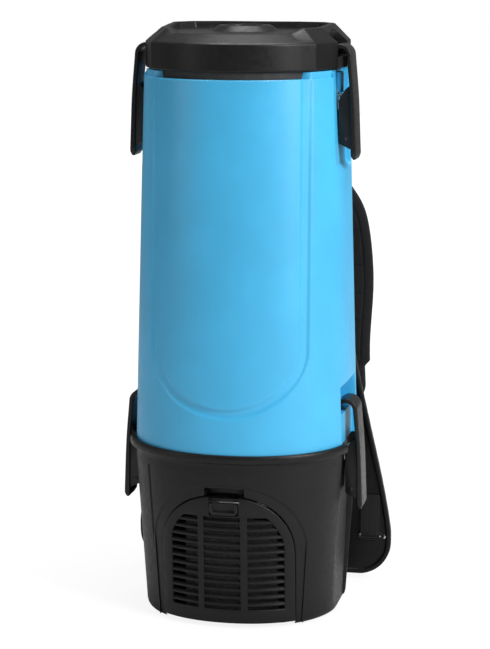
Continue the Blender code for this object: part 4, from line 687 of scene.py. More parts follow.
FRONT_SHARES = even_shares((0.1065, 0.0970), FRONT_POWER, SIDE_EDGE, 80, (GROOVE_LEG_X, 0.0085, 1.6))
BACK_SHARES = even_shares((0.1065, 0.0875), BACK_POWER, SIDE_EDGE, 34)


def depth_and_power(size, ahead):
    """Depth and power of the outline's formula, where ahead is true in front of the axis."""
    return np.where(ahead, size[1], size[2]), np.where(ahead, FRONT_POWER, BACK_POWER)


def outline_grid(size, inset=0.0):
    """x and y of the body's outline, one row for each height.

    |x / half width|^p + |y / depth|^p = 1, with p = FRONT_POWER in front and BACK_POWER behind. The
    columns run from the right side's front edge round the back, the left side and the front.
    """
    half_width, front, back = size = [value - inset for value in size]

    def side(sign):
        y = np.broadcast_to(SIDE_COLUMNS, (len(half_width), len(SIDE_COLUMNS)))
        depth, power = depth_and_power(size, y < 0)
        return sign * half_width * (1 - np.abs(y / depth) ** power) ** (1 / power), y

    def end(sign, depth, power, shares):
        start = np.arcsin((SIDE_EDGE / depth) ** (power / 2))
        angle = start + (np.pi - 2 * start) * shares[1:-1]
        x = half_width * np.sign(np.cos(angle)) * np.abs(np.cos(angle)) ** (2 / power)
        return sign * x, sign * depth * np.abs(np.sin(angle)) ** (2 / power)

    right = side(1)
    behind = end(1, back, BACK_POWER, BACK_SHARES)
    left = [value[:, ::-1] for value in side(-1)]
    ahead = end(-1, front, FRONT_POWER, FRONT_SHARES)
    return tuple(np.concatenate([piece[k] for piece in (right, behind, left, ahead)], axis=1) for k in (0, 1))


def outline_normals(x, y, size):
    """Outward direction: the gradient of the outline's formula."""
    depth, power = depth_and_power(size, y < 0)
    nx = np.sign(x) * np.abs(x / size[0]) ** (power - 1) / size[0]
    ny = np.sign(y) * np.abs(y / depth) ** (power - 1) / depth
    length = np.hypot(nx, ny)
    return nx / length, ny / length


def front_y(size, x):
    """y of the front surface at x."""
    half_width, front = size[0], size[1]
    return -front * (1 - np.minimum(np.abs(x) / half_width, 1.0) ** FRONT_POWER) ** (1 / FRONT_POWER)


def soft_min(a, b, radius):
    """The smaller of two values, with a fillet of about the radius where they cross."""
    share = np.clip(0.5 + 0.5 * (b - a) / radius, 0.0, 1.0)
    return b + (a - b) * share - radius * share * (1 - share)


def pocket_floor(place, z):
    """x of a latch pocket's flat floor, which leans with the lever."""
    hinge_x, hinge_z = place[0] + BAIL_HINGE[0], place[1] + BAIL_HINGE[1]
    return hinge_x - BARREL_RADIUS - POCKET_ROOM + (hinge_z - z) * LEVER_LEAN / LEVER_LENGTH


def in_pocket(y):
    """1 between the pockets' side edges and 0 outside them, with a narrow step."""
    return 1 - smooth_step(POCKET_HALF_WIDTH - 0.0006, POCKET_HALF_WIDTH + 0.0004, np.abs(y))


def pressed(x, limit, inside, radius):
    """|x| lowered to a limit with a fillet of the radius, where inside is 1."""
    reach = np.abs(x)
    lowered = soft_min(reach, np.broadcast_to(limit, reach.shape), radius)
    return np.sign(x) * (reach + (lowered - reach) * inside)


def press_pocket(x, y, limit, radius=0.0016):
    """Limits |x| to a pocket's floor between the pocket's side edges."""
    return pressed(x, limit, in_pocket(y), radius)


# ------------------------------------------------------------------ dust chamber
NOTCH_X = LATCHES["lower"][0] - ARCH_RADIUS - HOOK_CLEARANCE
SHELF_X = LATCHES["lower"][0] + SHELF_REACH_U
BETWEEN_POCKETS_Z = 0.3400
CHAMBER_EDGE = 0.0010
INSIDE_LIMIT = ((0.18, NOTCH_X), (0.235, NOTCH_X), (0.27, 0.115), (0.42, 0.115), (0.47, 0.0878),
                (0.52, 0.0840))          # z and |x| of the wall's inner side behind the pockets
PLUG_BOTTOM_Z = 0.5240


def groove_depth(x, z):
    """Depth of the U-shaped groove: two upright legs that a half ellipse joins below."""
    bend_z = GROOVE_BOTTOM_Z + GROOVE_BEND_HEIGHT
    a, b = x / GROOVE_LEG_X, (z - bend_z) / GROOVE_BEND_HEIGHT
    ring = np.sqrt(a * a + b * b) + 1e-9
    slope = np.sqrt((a / GROOVE_LEG_X) ** 2 + (b / GROOVE_BEND_HEIGHT) ** 2) / ring + 1e-9
    distance = np.where(z > bend_z, np.abs(np.abs(x) - GROOVE_LEG_X), np.abs(ring - 1) / slope)
    return GROOVE_DEPTH * (1 - smooth_step(0.42 * GROOVE_HALF_WIDTH, GROOVE_HALF_WIDTH, distance))


def chamber_limit(z):
    """|x| of the pockets' floors at each height, with the ramps that lead out of them."""
    upper, lower = LATCHES["upper"], LATCHES["lower"]
    low_x = pocket_floor(upper, UPPER_POCKET_BOTTOM)
    upper_limit = np.where(z > UPPER_POCKET_BOTTOM, pocket_floor(upper, z),
                           low_x + UPPER_POCKET_SLOPE * (UPPER_POCKET_BOTTOM - z))
    lower_limit = np.where(z < lower[1] - SHELF_DROP, SHELF_X,
                           NOTCH_X + LOWER_POCKET_SLOPE * np.maximum(z - LOWER_POCKET_TOP, 0.0))
    return np.where(z < BETWEEN_POCKETS_Z, lower_limit, upper_limit)[:, None]


def make_chamber_shell():
    """Tapered blue shell with latch pockets in its sides and a U-shaped groove in its front.

    Row z, column c: the outline at z, limited to the pockets' floors, moved inwards by the groove's
    depth. The rows go up the outside, over the mouth, down the inside and back under the floor.
    """
    z = np.unique(np.round(np.concatenate([
        np.linspace(CHAMBER_Z + 0.0008, 0.2034, 26), [0.2037, 0.2040, 0.2043],
        np.linspace(0.2050, 0.2840, 68), np.linspace(0.2870, 0.4230, 40), np.linspace(0.4250, 0.4550, 25),
        np.linspace(0.4580, 0.5240, 22), np.linspace(0.5260, CHAMBER_TOP_Z - CHAMBER_EDGE, 12)]), 5))
    size = chamber_size(z)
    x, y = outline_grid(size)
    height = np.repeat(z[:, None], x.shape[1], axis=1)
    nx, ny = outline_normals(x, y, size)
    press = np.where(y < 0, groove_depth(x, height), 0.0)
    x = press_pocket(x - nx * press, y - ny * press, chamber_limit(z))
    y = y - ny * press

    dip = FRONT_DIP * (1 - smooth_step(-0.0330, -0.0310, y))
    height = height - dip * smooth_step(CHAMBER_TOP_Z - 0.045, CHAMBER_TOP_Z, height)
    gap = 1 - smooth_step(FRONT_DIP_HALF_WIDTH - 0.0008, FRONT_DIP_HALF_WIDTH + 0.0008, np.abs(x))
    gap = np.where(y < -0.04, FRONT_DIP * gap, 0.0)

    foot = outline_grid(chamber_size([CHAMBER_Z]), CHAMBER_EDGE)
    foot = (press_pocket(*foot, SHELF_X - 0.0006), foot[1])
    top_edge = (x[-1:] * (1 - CHAMBER_EDGE / 0.10), y[-1:] * (1 - CHAMBER_EDGE / 0.09))
    collar, mouth = ([capped(value, np.abs(edge) - inset)
                      for value, edge in zip(outline_grid(fixed_size(size)), top_edge)]
                     for size, inset in ((COLLAR, 0.0006), (MOUTH, 0.0010)))
    inside_z = np.array([0.5200, 0.5150, 0.5000, 0.4000, 0.2900, 0.2560, 0.2300, CHAMBER_Z + CHAMBER_FLOOR])
    inside = outline_grid(chamber_size(inside_z), CHAMBER_WALL)
    inside_limit = np.interp(inside_z, *zip(*INSIDE_LIMIT))[:, None] - CHAMBER_WALL
    outlet_angle = np.arctan2(foot[1], foot[0])
    outlet = (OUTLET_RADIUS * np.cos(outlet_angle), OUTLET_RADIUS * np.sin(outlet_angle))
    grid = np.concatenate([
        points_at(*foot, CHAMBER_Z), points_at(x, y, height), points_at(*top_edge, CHAMBER_TOP_Z - dip[-1:]),
        points_at(*collar, CHAMBER_TOP_Z - dip[-1:]), points_at(*collar, CHAMBER_TOP_Z - gap[-1:]),
        points_at(*mouth, CHAMBER_TOP_Z - gap[-1:]), points_at(*mouth, PLUG_BOTTOM_Z),
        points_at(capped(inside[0], inside_limit), inside[1], inside_z[:, None]),
        points_at(*outlet, CHAMBER_Z + CHAMBER_FLOOR), points_at(*outlet, CHAMBER_Z)])
    make_piece("chamber_shell", [(grid, True, True)], "blue_shell", "dust_chamber")


make_chamber_shell()


# ------------------------------------------------------------------ motor housing
FASCIA_TOP_Z = 0.1545            # over this the housing is one ring, under it a front panel and a wall
FASCIA_SHARE = 0.165             # where the front panel meets the wall, as a share of the front's angle
FASCIA_CORNER = 0.52             # where the panel's outer edge turns, as a share of half its arch
FOOT_DEPTH, FOOT_HEIGHT = 0.0030, 0.0050
TAB_COLUMN_X = 0.0145            # half width of the notch that the tab fills
COLLAR_OPENING = (0.0930, 0.0930, 0.0820)


def fascia_edge_x(z):
    """x of the line where the front panel meets the side wall."""
    half_width, front, _ = housing_size(np.ravel(z))
    start = np.arcsin((SIDE_EDGE / front) ** (FRONT_POWER / 2))
    angle = start + (np.pi - 2 * start) * FASCIA_SHARE
    return (half_width * np.cos(angle) ** (2 / FRONT_POWER)).reshape(np.shape(z))


def foot_rounding(z):
    """How far the wall is drawn in at its foot: a quarter ellipse."""
    share = np.clip((z - SKIRT_LIFT) / FOOT_HEIGHT, 0.0, 1.0)
    return FOOT_DEPTH * (1 - np.sqrt(1 - (1 - share) ** 2))


def front_point(x, z, depth):
    """A point depth behind the housing's front surface at x and z, inwards along its level normal."""
    size = [value.reshape(np.shape(z)) for value in housing_size(np.ravel(z))]
    y = front_y(size, x)
    nx, ny = outline_normals(x, y, size)
    return np.stack([x - nx * depth, y - ny * depth, z], axis=-1)


def arch_shares():
    """Columns over the arch as x at the opening, from the left springing to the right one."""
    side_x = DOOR_HALF_WIDTH * np.cos(np.linspace(0.0, 1.12, 26)) ** (2 / DOOR_ARCH_POWER)
    middle = np.array([0.0250, 0.0220, 0.0203, 0.0198, HOOD_HALF_WIDTH, 0.0190, 0.0170, 0.0155, 0.0150,
                       TAB_COLUMN_X, 0.0142, 0.0135, 0.0110, 0.0080, 0.0040])
    right = np.concatenate([side_x[side_x > 0.0275], middle])
    return np.concatenate([-right, [0.0], right[::-1]])


def arch_z(x, grow):
    """Height of the door's arch, grown evenly: (x / w)^p + ((z - springing) / rise)^p = 1."""
    share = np.minimum(np.abs(x) / (DOOR_HALF_WIDTH + grow), 1.0)
    rise = DOOR_TOP - DOOR_SPRINGING + grow
    return DOOR_SPRINGING + rise * (1 - share ** DOOR_ARCH_POWER) ** (1 / DOOR_ARCH_POWER)


def arch_line(grow, leg_z):
    """x and z along a grown arch: up the left leg, over the top and down the right leg."""
    base = arch_shares()
    x = base * (1 + grow / DOOR_HALF_WIDTH * smooth_step(0.026, 0.045, np.abs(base)))
    x[[0, -1]] = (-(DOOR_HALF_WIDTH + grow), DOOR_HALF_WIDTH + grow)
    leg_x = np.full(len(leg_z), DOOR_HALF_WIDTH + grow)
    return np.concatenate([-leg_x, x, leg_x]), np.concatenate([leg_z, arch_z(x, grow), leg_z[::-1]])


def panel_edge(x, z, leg_z):
    """The front panel's outer edge: up along the side wall, over the top and down again, as x and z.

    x and z are the band's outer line, whose even steps over the arch set the edge's points.
    """
    arch = slice(len(leg_z), len(x) - len(leg_z))
    walked = np.concatenate([[0.0], np.cumsum(np.hypot(np.diff(x[arch]), np.diff(z[arch])))])
    share = np.minimum(walked, walked[::-1]) / (0.5 * walked[-1])
    nearest = np.argmin(np.abs(share[:len(share) // 2] - FASCIA_CORNER))
    share[[nearest, -1 - nearest]] = FASCIA_CORNER
    upright = share < FASCIA_CORNER
    out_z = np.where(upright, DOOR_SPRINGING + (FASCIA_TOP_Z - DOOR_SPRINGING) * share / FASCIA_CORNER,
                     FASCIA_TOP_Z)
    over = np.where(upright, 1.0, (1 - share) / (1 - FASCIA_CORNER))
    out_x = np.sign(x[arch]) * fascia_edge_x(out_z) * over
    leg_x = fascia_edge_x(leg_z)
    return np.concatenate([-leg_x, out_x, leg_x[::-1]]), np.concatenate([leg_z, out_z, leg_z[::-1]])


def make_front_panel():
    """The panel round the exhaust door, as a grid that follows the door's arch.

    Each column leaves the opening's edge square to the arch, crosses the recessed band and runs
    straight to the panel's outer edge. Each row is a line round the opening; its depth behind the
    housing's surface makes the edge, the band and the hood over the door's tab.
    """
    leg_z = np.array([SKIRT_LIFT, 0.0020, 0.0032, 0.0046, 0.0062, 0.012, 0.022, 0.034, 0.046, 0.058, 0.066])
    reach_and_depth = (
        (0.0000, 0.0022), (0.0000, 0.0016), (0.0002, 0.0012), (0.0006, 0.0010), (0.0020, 0.0010),
        (0.0040, 0.0010), (0.0058, 0.0010), (0.0065, 0.0010), (0.0070, 0.0010), (0.0080, 0.0010),
        (0.0090, 0.0010), (0.0094, 0.0009), (0.0099, 0.0005), (0.0104, 0.0001), (0.0110, 0.0000))
    hood_row = 7
    lines = []
    in_hood = np.abs(arch_line(DOOR_CLEARANCE, leg_z)[0]) <= HOOD_HALF_WIDTH
    for number, (reach, depth) in enumerate(reach_and_depth):
        x, z = arch_line(DOOR_CLEARANCE + reach, leg_z)
        depth = np.full(len(x), depth)
        if number <= hood_row:
            low_z = arch_z(x, DOOR_CLEARANCE)
            z = np.where(in_hood, low_z + (HOOD_TOP - low_z) * number / hood_row, z)
            depth = np.where(in_hood, HOOD_DEPTH, depth)
        else:
            z = np.where(in_hood, np.maximum(z, HOOD_TOP + 0.00005 * (number - hood_row)), z)
            if number == hood_row + 1:
                depth = np.where(in_hood, 0.0013, depth)
        lines.append((x, z, depth))
    first, last = lines[0][:2], lines[-1][:2]
    out = panel_edge(*last, leg_z)

    def between(line, way):
        return [start + (end - start) * way for start, end in zip(line, out)]

    for way in np.linspace(0.0, 1.0, 13)[1:]:
        lines.append((*between(last, way), np.zeros(len(in_hood))))
    for way in (1.0, 0.5, 0.12, 0.0):
        x, z = between(first, way)
        behind_hood = in_hood & (z < HOOD_TOP + 0.0030)
        lines.append((x, z, np.where(behind_hood, HOOD_DEPTH + 0.0020, HOUSING_WALL)))
    grid = np.stack([front_point(x, z, depth + foot_rounding(z) * (depth < 0.0025)) for x, z, depth in lines])
    return grid, True, False


def pocket_limit(z):
    """x of the latch pocket's floor down the housing's side; it runs out towards the foot."""
    low_x, low_z = 0.0950, -0.010
    floor = pocket_floor(LATCHES["lower"], np.maximum(z, BRACKET_BOTTOM_Z))
    low = low_x + (floor - low_x) * (z - low_z) / (BRACKET_BOTTOM_Z - low_z)
    return np.where(z < BRACKET_BOTTOM_Z, low, floor)


def make_side_wall():
    """The wall from one edge of the front panel round the back to the other, outside and inside."""
    z = np.concatenate([[SKIRT_LIFT, 0.0016, 0.0024, 0.0036, 0.0062], np.linspace(0.012, FASCIA_TOP_Z, 42)])
    front = len(FRONT_SHARES) - 2
    rows = []
    for inset, heights in ((0.0, z), (HOUSING_WALL, z[::-1][[0, 20, -6, -1]])):
        size = housing_size(heights)
        x, y = outline_grid(size, inset + foot_rounding(heights)[:, None] * (inset == 0.0))
        limit = pocket_limit(heights)[:, None] - inset
        x = press_pocket(x, y, limit) if inset == 0.0 else capped(x, limit)
        # the columns start at the right side's front edge and end along the front, so the front is rolled
        # to both ends and cut where the panel begins
        x, y = np.roll(x, front // 2, axis=1), np.roll(y, front // 2, axis=1)
        edge_x = fascia_edge_x(heights)[:, None]
        in_front = (y < -SIDE_EDGE) & (np.abs(x) < edge_x)
        x = np.where(in_front, np.sign(x) * edge_x, x)
        y = np.where(in_front, front_y(size, edge_x) + inset, y)
        rows.append(points_at(x, y, heights[:, None]))
    grid = np.concatenate(rows)
    keep = np.abs(np.diff(grid[0, :, :2], axis=0, prepend=grid[0, :1, :2] + 1)).max(axis=1) > 1e-7
    return grid[:, keep], True, False


def make_collar():
    """The ring over the panels: neck, rolled rim, the recess and the deck that the chamber stands on."""
    neck, rim, opening = HOUSING_NECK, RIM, COLLAR_OPENING
    recess = [value + 0.0005 for value in CHAMBER_FOOT]
    outside = ((neck, 0.0, FASCIA_TOP_Z), (neck, 0.0, 0.1600), (neck, 0.0, 0.1640), (neck, -0.0004, 0.1652),
               (neck, -0.0014, 0.1658), (rim, 0.0012, 0.1661), (rim, 0.0004, 0.1668), (rim, 0.0, 0.1680),
               (rim, 0.0, 0.1712), (rim, 0.0002, 0.1727), (rim, 0.0007, 0.1738), (rim, 0.0013, 0.1743),
               (rim, 0.0018, RIM_TOP_Z), (recess, -0.0002, 0.1744), (recess, 0.0, 0.1740),
               (recess, 0.0, 0.1700))
    deck = ((opening, 0.0, 0.1700),)
    inside = ((opening, 0.0, 0.1660), (neck, HOUSING_WALL, 0.1660), (neck, HOUSING_WALL, FASCIA_TOP_Z))
    rows = []
    for step in outside + deck + inside:
        size, inset, z = step
        x, y = outline_grid(fixed_size(size), inset)
        limit = pocket_limit(np.array([z]))[:, None]
        if step in outside:
            x = press_pocket(x, y, limit, 0.0008)
        elif step in inside:
            x = capped(x, limit - HOUSING_WALL)
        cut = np.where(np.abs(x) > 0.090, in_pocket(y), 0.0)
        rows.append(points_at(x, y, z - cut * max(z - DECK_HEIGHT, 0.0)))
    return np.concatenate(rows), True, True


make_piece("housing_shell", [make_front_panel(), make_side_wall(), make_collar()], "black_shell",
           "motor_housing")


# ------------------------------------------------------------------ exhaust door
LOUVRE = ((0.0006, -0.0022), (0.0004, -0.0004), (0.0030, 0.0019), (0.0034, 0.0010), (0.0014, -0.0024))
BAR_PROUD = 0.0002
SHORTEST_BLADE = 0.0060
DOOR_EDGE = ((0.0, DOOR_WALL), (0.0, 0.0010), (0.00015, 0.0005), (0.0005, 0.00015), (0.0010, 0.0))


def door_point(x, z, depth):
    """A point depth behind the door's face, which stands a little proud of the housing."""
    return front_point(*np.broadcast_arrays(x, z, depth - DOOR_PROUD))


def make_door_frame():
    """The door's frame as a closed band between its outline and the line round its windows.

    The rows go from the outline to the windows over the face, and back behind it. The columns go up
    the left leg, over the arch, down the right leg and back along the foot; where the tab sits the
    outline drops to the tab's lower edge.
    """
    leg_z = np.array([DOOR_BOTTOM, 0.0080, 0.0130, 0.0190, 0.0260, 0.0370, 0.0480, 0.0590, 0.0670])
    foot_x = np.linspace(DOOR_HALF_WIDTH, -DOOR_HALF_WIDTH, 25)[1:-1]
    out_x, out_z = arch_line(0.0, leg_z)
    notch = (np.abs(out_x) <= TAB_COLUMN_X) & (out_z > TAB_BOTTOM)
    out_z = np.where(notch, TAB_BOTTOM - 0.0005, out_z)
    in_x, in_z = arch_line(-WINDOW_MARGIN, np.maximum(leg_z, WINDOW_BOTTOM))
    out_x = np.concatenate([out_x, foot_x])
    in_x = np.clip(np.concatenate([in_x, foot_x]), WINDOWS[0][0], WINDOWS[-1][1])
    out_z = np.concatenate([out_z, np.full(len(foot_x), DOOR_BOTTOM)])
    in_z = np.concatenate([np.minimum(in_z, WINDOW_TOP), np.full(len(foot_x), WINDOW_BOTTOM)])
    width = np.hypot(in_x - out_x, in_z - out_z) + 1e-9
    edge = [(np.minimum(reach / width, 0.45), depth) for reach, depth in DOOR_EDGE]
    lines = edge + [(0.5, 0.0)] + [(1 - way, depth) for way, depth in edge[::-1]]
    grid = np.stack([door_point(out_x + (in_x - out_x) * way, out_z + (in_z - out_z) * way, depth)
                     for way, depth in lines])
    return grid, True, True


def make_bar(x_low, x_high):
    """An upright bar of the grille: a rounded section carried up the door's curved face."""
    section = rounded_profile([(x_low, DOOR_WALL), (x_low, -BAR_PROUD), (x_high, -BAR_PROUD),
                               (x_high, DOOR_WALL)], 0.0009)
    z = np.linspace(WINDOW_BOTTOM - 0.0020, WINDOW_TOP + 0.0015, 12)[:, None]
    return door_point(section[:, 0], z, section[:, 1]), False, True


def make_blade(x_low, x_high, z):
    """One louvre: a slanting rounded section carried along the door's curve."""
    section = rounded_profile(LOUVRE, 0.0005, 4)
    x = np.linspace(x_low, x_high, 14)[:, None]
    return door_point(x, z + section[:, 1], section[:, 0]), False, True


def make_louvred_door():
    parts = [make_door_frame()]
    for left, right in zip(WINDOWS[:-1], WINDOWS[1:]):
        parts.append(make_bar(left[1], right[0]))
    for left, right in WINDOWS:
        for row in range(int((WINDOW_TOP - WINDOW_BOTTOM) / SLAT_PITCH)):
            z = WINDOW_BOTTOM + (row + 0.74) * SLAT_PITCH
            rise = max(z - DOOR_SPRINGING, 0.0) / (DOOR_TOP - DOOR_SPRINGING)
            reach = DOOR_HALF_WIDTH * (1 - rise ** DOOR_ARCH_POWER) ** (1 / DOOR_ARCH_POWER)
            reach -= WINDOW_MARGIN - 0.0015
            low, high = max(left - 0.0010, -reach), min(right + 0.0010, reach)
            if high - low > SHORTEST_BLADE and z < WINDOW_TOP - 0.0010:
                parts.append(make_blade(low, high, z))
    make_piece("louvred_door", parts, "black_shell", "filter_door", body="door")


make_louvred_door()
softened("door_tab", "snap_tab", "black_lever", 0.0007, 3, "tab")


# ------------------------------------------------------------------ lid
NOTCH_EDGE = (0.0178, 0.0183, 0.0187, 0.0190, 0.0200)
NOTCH_Y = np.concatenate([np.negative(NOTCH_EDGE)[::-1], np.linspace(-0.0165, 0.0165, 23), NOTCH_EDGE])
LID_RADIUS, LID_CENTRE_Y = 0.1000, 0.0065       # of the front's arc
LID_CORNERS = ((0.0806, -0.0545), (0.0948, -0.0200), (0.0964, 0.0), (0.0976, 0.0200), (0.0965, 0.0480),
               (0.0800, 0.0730), (0.0500, 0.0830), (0.0, 0.0850))
LID_PROFILE = ((0.0008, LID_Z), (0.0, LID_Z + 0.0009), (0.0, 0.5506), (0.0, 0.5514),
               (0.0, LID_WALL_TOP_Z - 0.0015), (0.0015, LID_WALL_TOP_Z), (0.0165, LID_ROOF_Z),
               (0.0225, LID_ROOF_Z), (0.0245, DISH_Z))
NOTCH_FLOOR_X = 0.0795
DISH_RADIUS = 0.0358
RISE_START_X, RISE_LENGTH_X = 0.0680, 0.0122
PLUG_WALL, PLUG_ROOM = 0.0025, 0.0030
CONE = ((0.0350, DISH_Z), (0.0330, DISH_Z + 0.0003), (0.0258, BOSS_TOP_Z - 0.0003), (0.0240, BOSS_TOP_Z),
        (0.0206, BOSS_TOP_Z - 0.0001), (0.0195, BOSS_TOP_Z - 0.0012), (0.0195, 0.5710))
SOCKET_OUTER, SOCKET_TOP = 0.0192, 0.5797
SOCKET_GROOVES = ((0.0178, 0.5640), (0.0182, 0.5632), (0.0182, 0.5600), (0.0178, 0.5592), (0.0178, 0.5560),
                  (0.0182, 0.5552), (0.0182, 0.5520), (0.0178, 0.5512), (0.0178, 0.5000))


def denser(profile, step):
    """The same profile with points at least every step along it."""
    length = path_length(profile)
    return sampled(profile, np.unique(np.concatenate([length, np.arange(0.0, length[-1], step)])))


def lid_plan():
    """Right half of the lid's outline, from the front to the back, in front, side and rear parts."""
    def arc_point(x):
        return x, LID_CENTRE_Y - np.sqrt(LID_RADIUS ** 2 - x ** 2)

    arc = np.stack(arc_point(np.linspace(0.0, 0.0600, 60)), axis=-1)
    corners = rounded_profile([arc_point(0.0612), arc_point(0.0676), *LID_CORNERS], 0.0014, 7, closed=False)
    path = evenly(np.concatenate([arc, corners]), 4000)
    first = np.argmax((path[:, 0] > 0.0700) & (path[:, 1] > -0.0510))
    last = np.argmax((path[:, 0] > 0.0900) & (path[:, 1] > 0.0450))

    def pick(part, count):
        return part[np.round(np.linspace(0, len(part) - 1, count)).astype(int)]

    return pick(path[:first + 1], 110), path[first:last + 1], pick(path[last:], 84)


LID_PLAN = lid_plan()


def lid_ring(inset):
    """Lid outline moved towards the axis: p (1 - inset / |p|), with the side columns at fixed y."""
    front, side, rear = (part * (1 - inset / np.linalg.norm(part, axis=1, keepdims=True))
                         for part in LID_PLAN)
    y = np.concatenate([np.linspace(side[0, 1], NOTCH_Y[0], 26)[:-1], NOTCH_Y,
                        np.linspace(NOTCH_Y[-1], side[-1, 1], 20)[1:]])
    level = np.stack([np.interp(y, side[:, 1], side[:, 0]), y], axis=-1)
    half = np.concatenate([front, level[1:-1], rear])
    half[0, 0] = half[-1, 0] = 0.0
    return np.concatenate([half, half[-2:0:-1] * (-1, 1)])


def rim_rise(ring):
    """How far the rim stands over the front's: nothing behind the front arc, then more to the back."""
    corner = np.clip((np.abs(ring[:, 0]) - RISE_START_X) / RISE_LENGTH_X, 0.0, 1.0)
    corner = np.where(ring[:, 1] > LID_CORNERS[0][1], 1.0, corner)
    back = np.clip((ring[:, 1] + 0.0100) / 0.0600, 0.0, 1.0)
    return LID_SIDE_RISE * corner + LID_REAR_RISE * back


def body_at(size, angle):
    """Point of the body's outline at each angle: |cos / half width|^p + |sin / depth|^p = r^-p."""
    depth, power = depth_and_power(size, np.sin(angle) < 0)
    x, y = np.cos(angle), np.sin(angle)
    radius = (np.abs(x / size[0]) ** power + np.abs(y / depth) ** power) ** (-1 / power)
    return np.stack([radius * x, radius * y], axis=-1)


def make_lid_shell():
    """Black lid: facetted walls, sloped roof, sunk middle with a low cone round the hose inlet.

    The outer rows follow a rounded profile of (inset, z). Above the shelf the rows are limited to the
    hook notches' floors. The rows then cross the sunk middle, climb the cone, go down its bore and
    come back inside and round the plug that closes the chamber's mouth.
    """
    profile = denser(rounded_profile(LID_PROFILE, 0.0010, 5, closed=False), 0.0013)
    rise = rim_rise(lid_ring(0.0))
    rows = []
    for inset, z in profile:
        ring = lid_ring(inset)
        share = np.clip((z - LID_WALL_TOP_Z) / (LID_ROOF_Z - LID_WALL_TOP_Z), 0.0, 1.0)
        share *= 1 - smooth_step(0.0220, 0.0245, inset)
        limit = NOTCH_FLOOR_X + 0.0150 * (1 - smooth_step(0.5507, 0.5513, z))
        limit += 0.0045 * smooth_step(0.5650, 0.5670, z)
        step = np.array([-0.0004, 0.0004]) + HOOK_NOTCH_HALF_WIDTH
        inside = (1 - smooth_step(*step, np.abs(ring[:, 1]))) * (np.abs(ring[:, 0]) > 0.05)
        rows.append(points_at(pressed(ring[:, 0], limit, inside, 0.0012), ring[:, 1], z + rise * share))

    edge = rows[-1]
    angle = np.arctan2(edge[:, 1], edge[:, 0])
    ray = np.stack([np.cos(angle), np.sin(angle)], axis=-1)

    def level(flat, z):
        return np.column_stack([flat, np.full(len(flat), z)])

    for share in (0.06, 0.25, 0.5, 0.75, 1.0):
        rows.append(level(edge[:, :2] + (ray * DISH_RADIUS - edge[:, :2]) * share, DISH_Z))
    rows += [level(ray * radius, z) for radius, z in rounded_profile(CONE, 0.0014, 6, closed=False)]
    plug = [value - PLUG_ROOM for value in MOUTH]
    inner_plug = [value - PLUG_WALL for value in plug]
    rows += [level(ray * 0.0300, 0.5708), level(lid_ring(0.0340), 0.5706), level(lid_ring(0.0210), 0.5680),
             level(lid_ring(0.0210), 0.5485), level(body_at(inner_plug, angle), 0.5470),
             level(body_at(inner_plug, angle), PLUG_BOTTOM_Z), level(body_at(plug, angle), PLUG_BOTTOM_Z),
             level(body_at(plug, angle), LID_Z)]
    make_piece("lid_shell", [(np.stack(rows), True, True)], "black_shell", "lid", smooth_angle=28.0)


def make_inlet_ring():
    """The hose socket: a tube with a rolled lip, a stop ring inside and two beads that grip the cuff."""
    profile = rounded_profile([
        (SOCKET_OUTER, SOCKET_TOP - 0.0012), (SOCKET_OUTER - 0.0003, SOCKET_TOP), (0.0182, SOCKET_TOP),
        (0.0178, SOCKET_TOP - 0.0016), *SOCKET_GROOVES, (SOCKET_OUTER, 0.5000), (SOCKET_OUTER, 0.5630),
        (0.0260, 0.5640), (0.0260, 0.5670), (SOCKET_OUTER, 0.5680)], 0.0005, 4)
    make_piece("inlet_ring", [(turned(profile, 112), True, True)], "black_shell", "inlet_collar")


make_lid_shell()
make_inlet_ring()


# ------------------------------------------------------------------ side latches
CHEEK_FACES = (0.0115, 0.0135)   # y of a cheek's inner and outer face
CHEEK_OUTLINE = ((0.0110, -0.0275), (0.0050, -0.0325), (-0.0006, -0.0425), (-0.0001, -0.0842),
                 (0.0125, -0.0902))
CHEEK_EDGE = 0.0004
WIRE_LEG_Y = 0.0097
WIRE_END_Y = 0.0138
LEVER_INNER = ((0.0, 0.0), (0.62, 0.40), (0.80, 0.90), (0.84, 0.96), (0.86, 0.985))   # shares out and down
LEVER_OUTER = ((0.0, 0.0), (0.62, 0.40), (1.0, 0.88), (1.06, 0.95), (1.08, 0.985))
END_SQUEEZE = (0.30, 0.16, 0.05, 0.0)
RIVET_HEAD = ((0.0002, 0.0006), (0.0008, 0.00057), (0.0012, 0.000432), (0.0016, 0.00024), (0.0018, 0.00006),
              (0.0018, -0.0006), (0.0002, -0.0006))


def make_cheek(face):
    """One of the lever's two side plates: its outline in rows from face to face, with a rounded edge."""
    outline = rounded_profile(CHEEK_OUTLINE, 0.0022, 7)
    low, high = sorted(face * y for y in CHEEK_FACES)
    middle = outline.mean(axis=0)
    reach = np.linalg.norm(outline - middle, axis=1, keepdims=True)
    rows = []
    for place, inset in ((low, 1.0), (low + 0.3 * CHEEK_EDGE, 0.3), (low + CHEEK_EDGE, 0.0),
                         (high - CHEEK_EDGE, 0.0), (high - 0.3 * CHEEK_EDGE, 0.3), (high, 1.0)):
        flat = middle + (outline - middle) * (1 - inset * CHEEK_EDGE / reach)
        rows.append(points_at(flat[:, 0], place, flat[:, 1]))
    return np.stack(rows)


def lever_edge(radius, spots):
    """One edge of the lever's side view: a half circle that runs into a leaning bar."""
    angle = np.linspace(np.pi, 0.0, 26)[:-1]
    arch = np.stack([np.cos(angle), np.sin(angle)], axis=-1)
    knots = [(radius + out * LEVER_LEAN, -down * LEVER_LENGTH) for out, down in spots]
    return np.concatenate([radius * arch, smooth_path(knots, 60)])


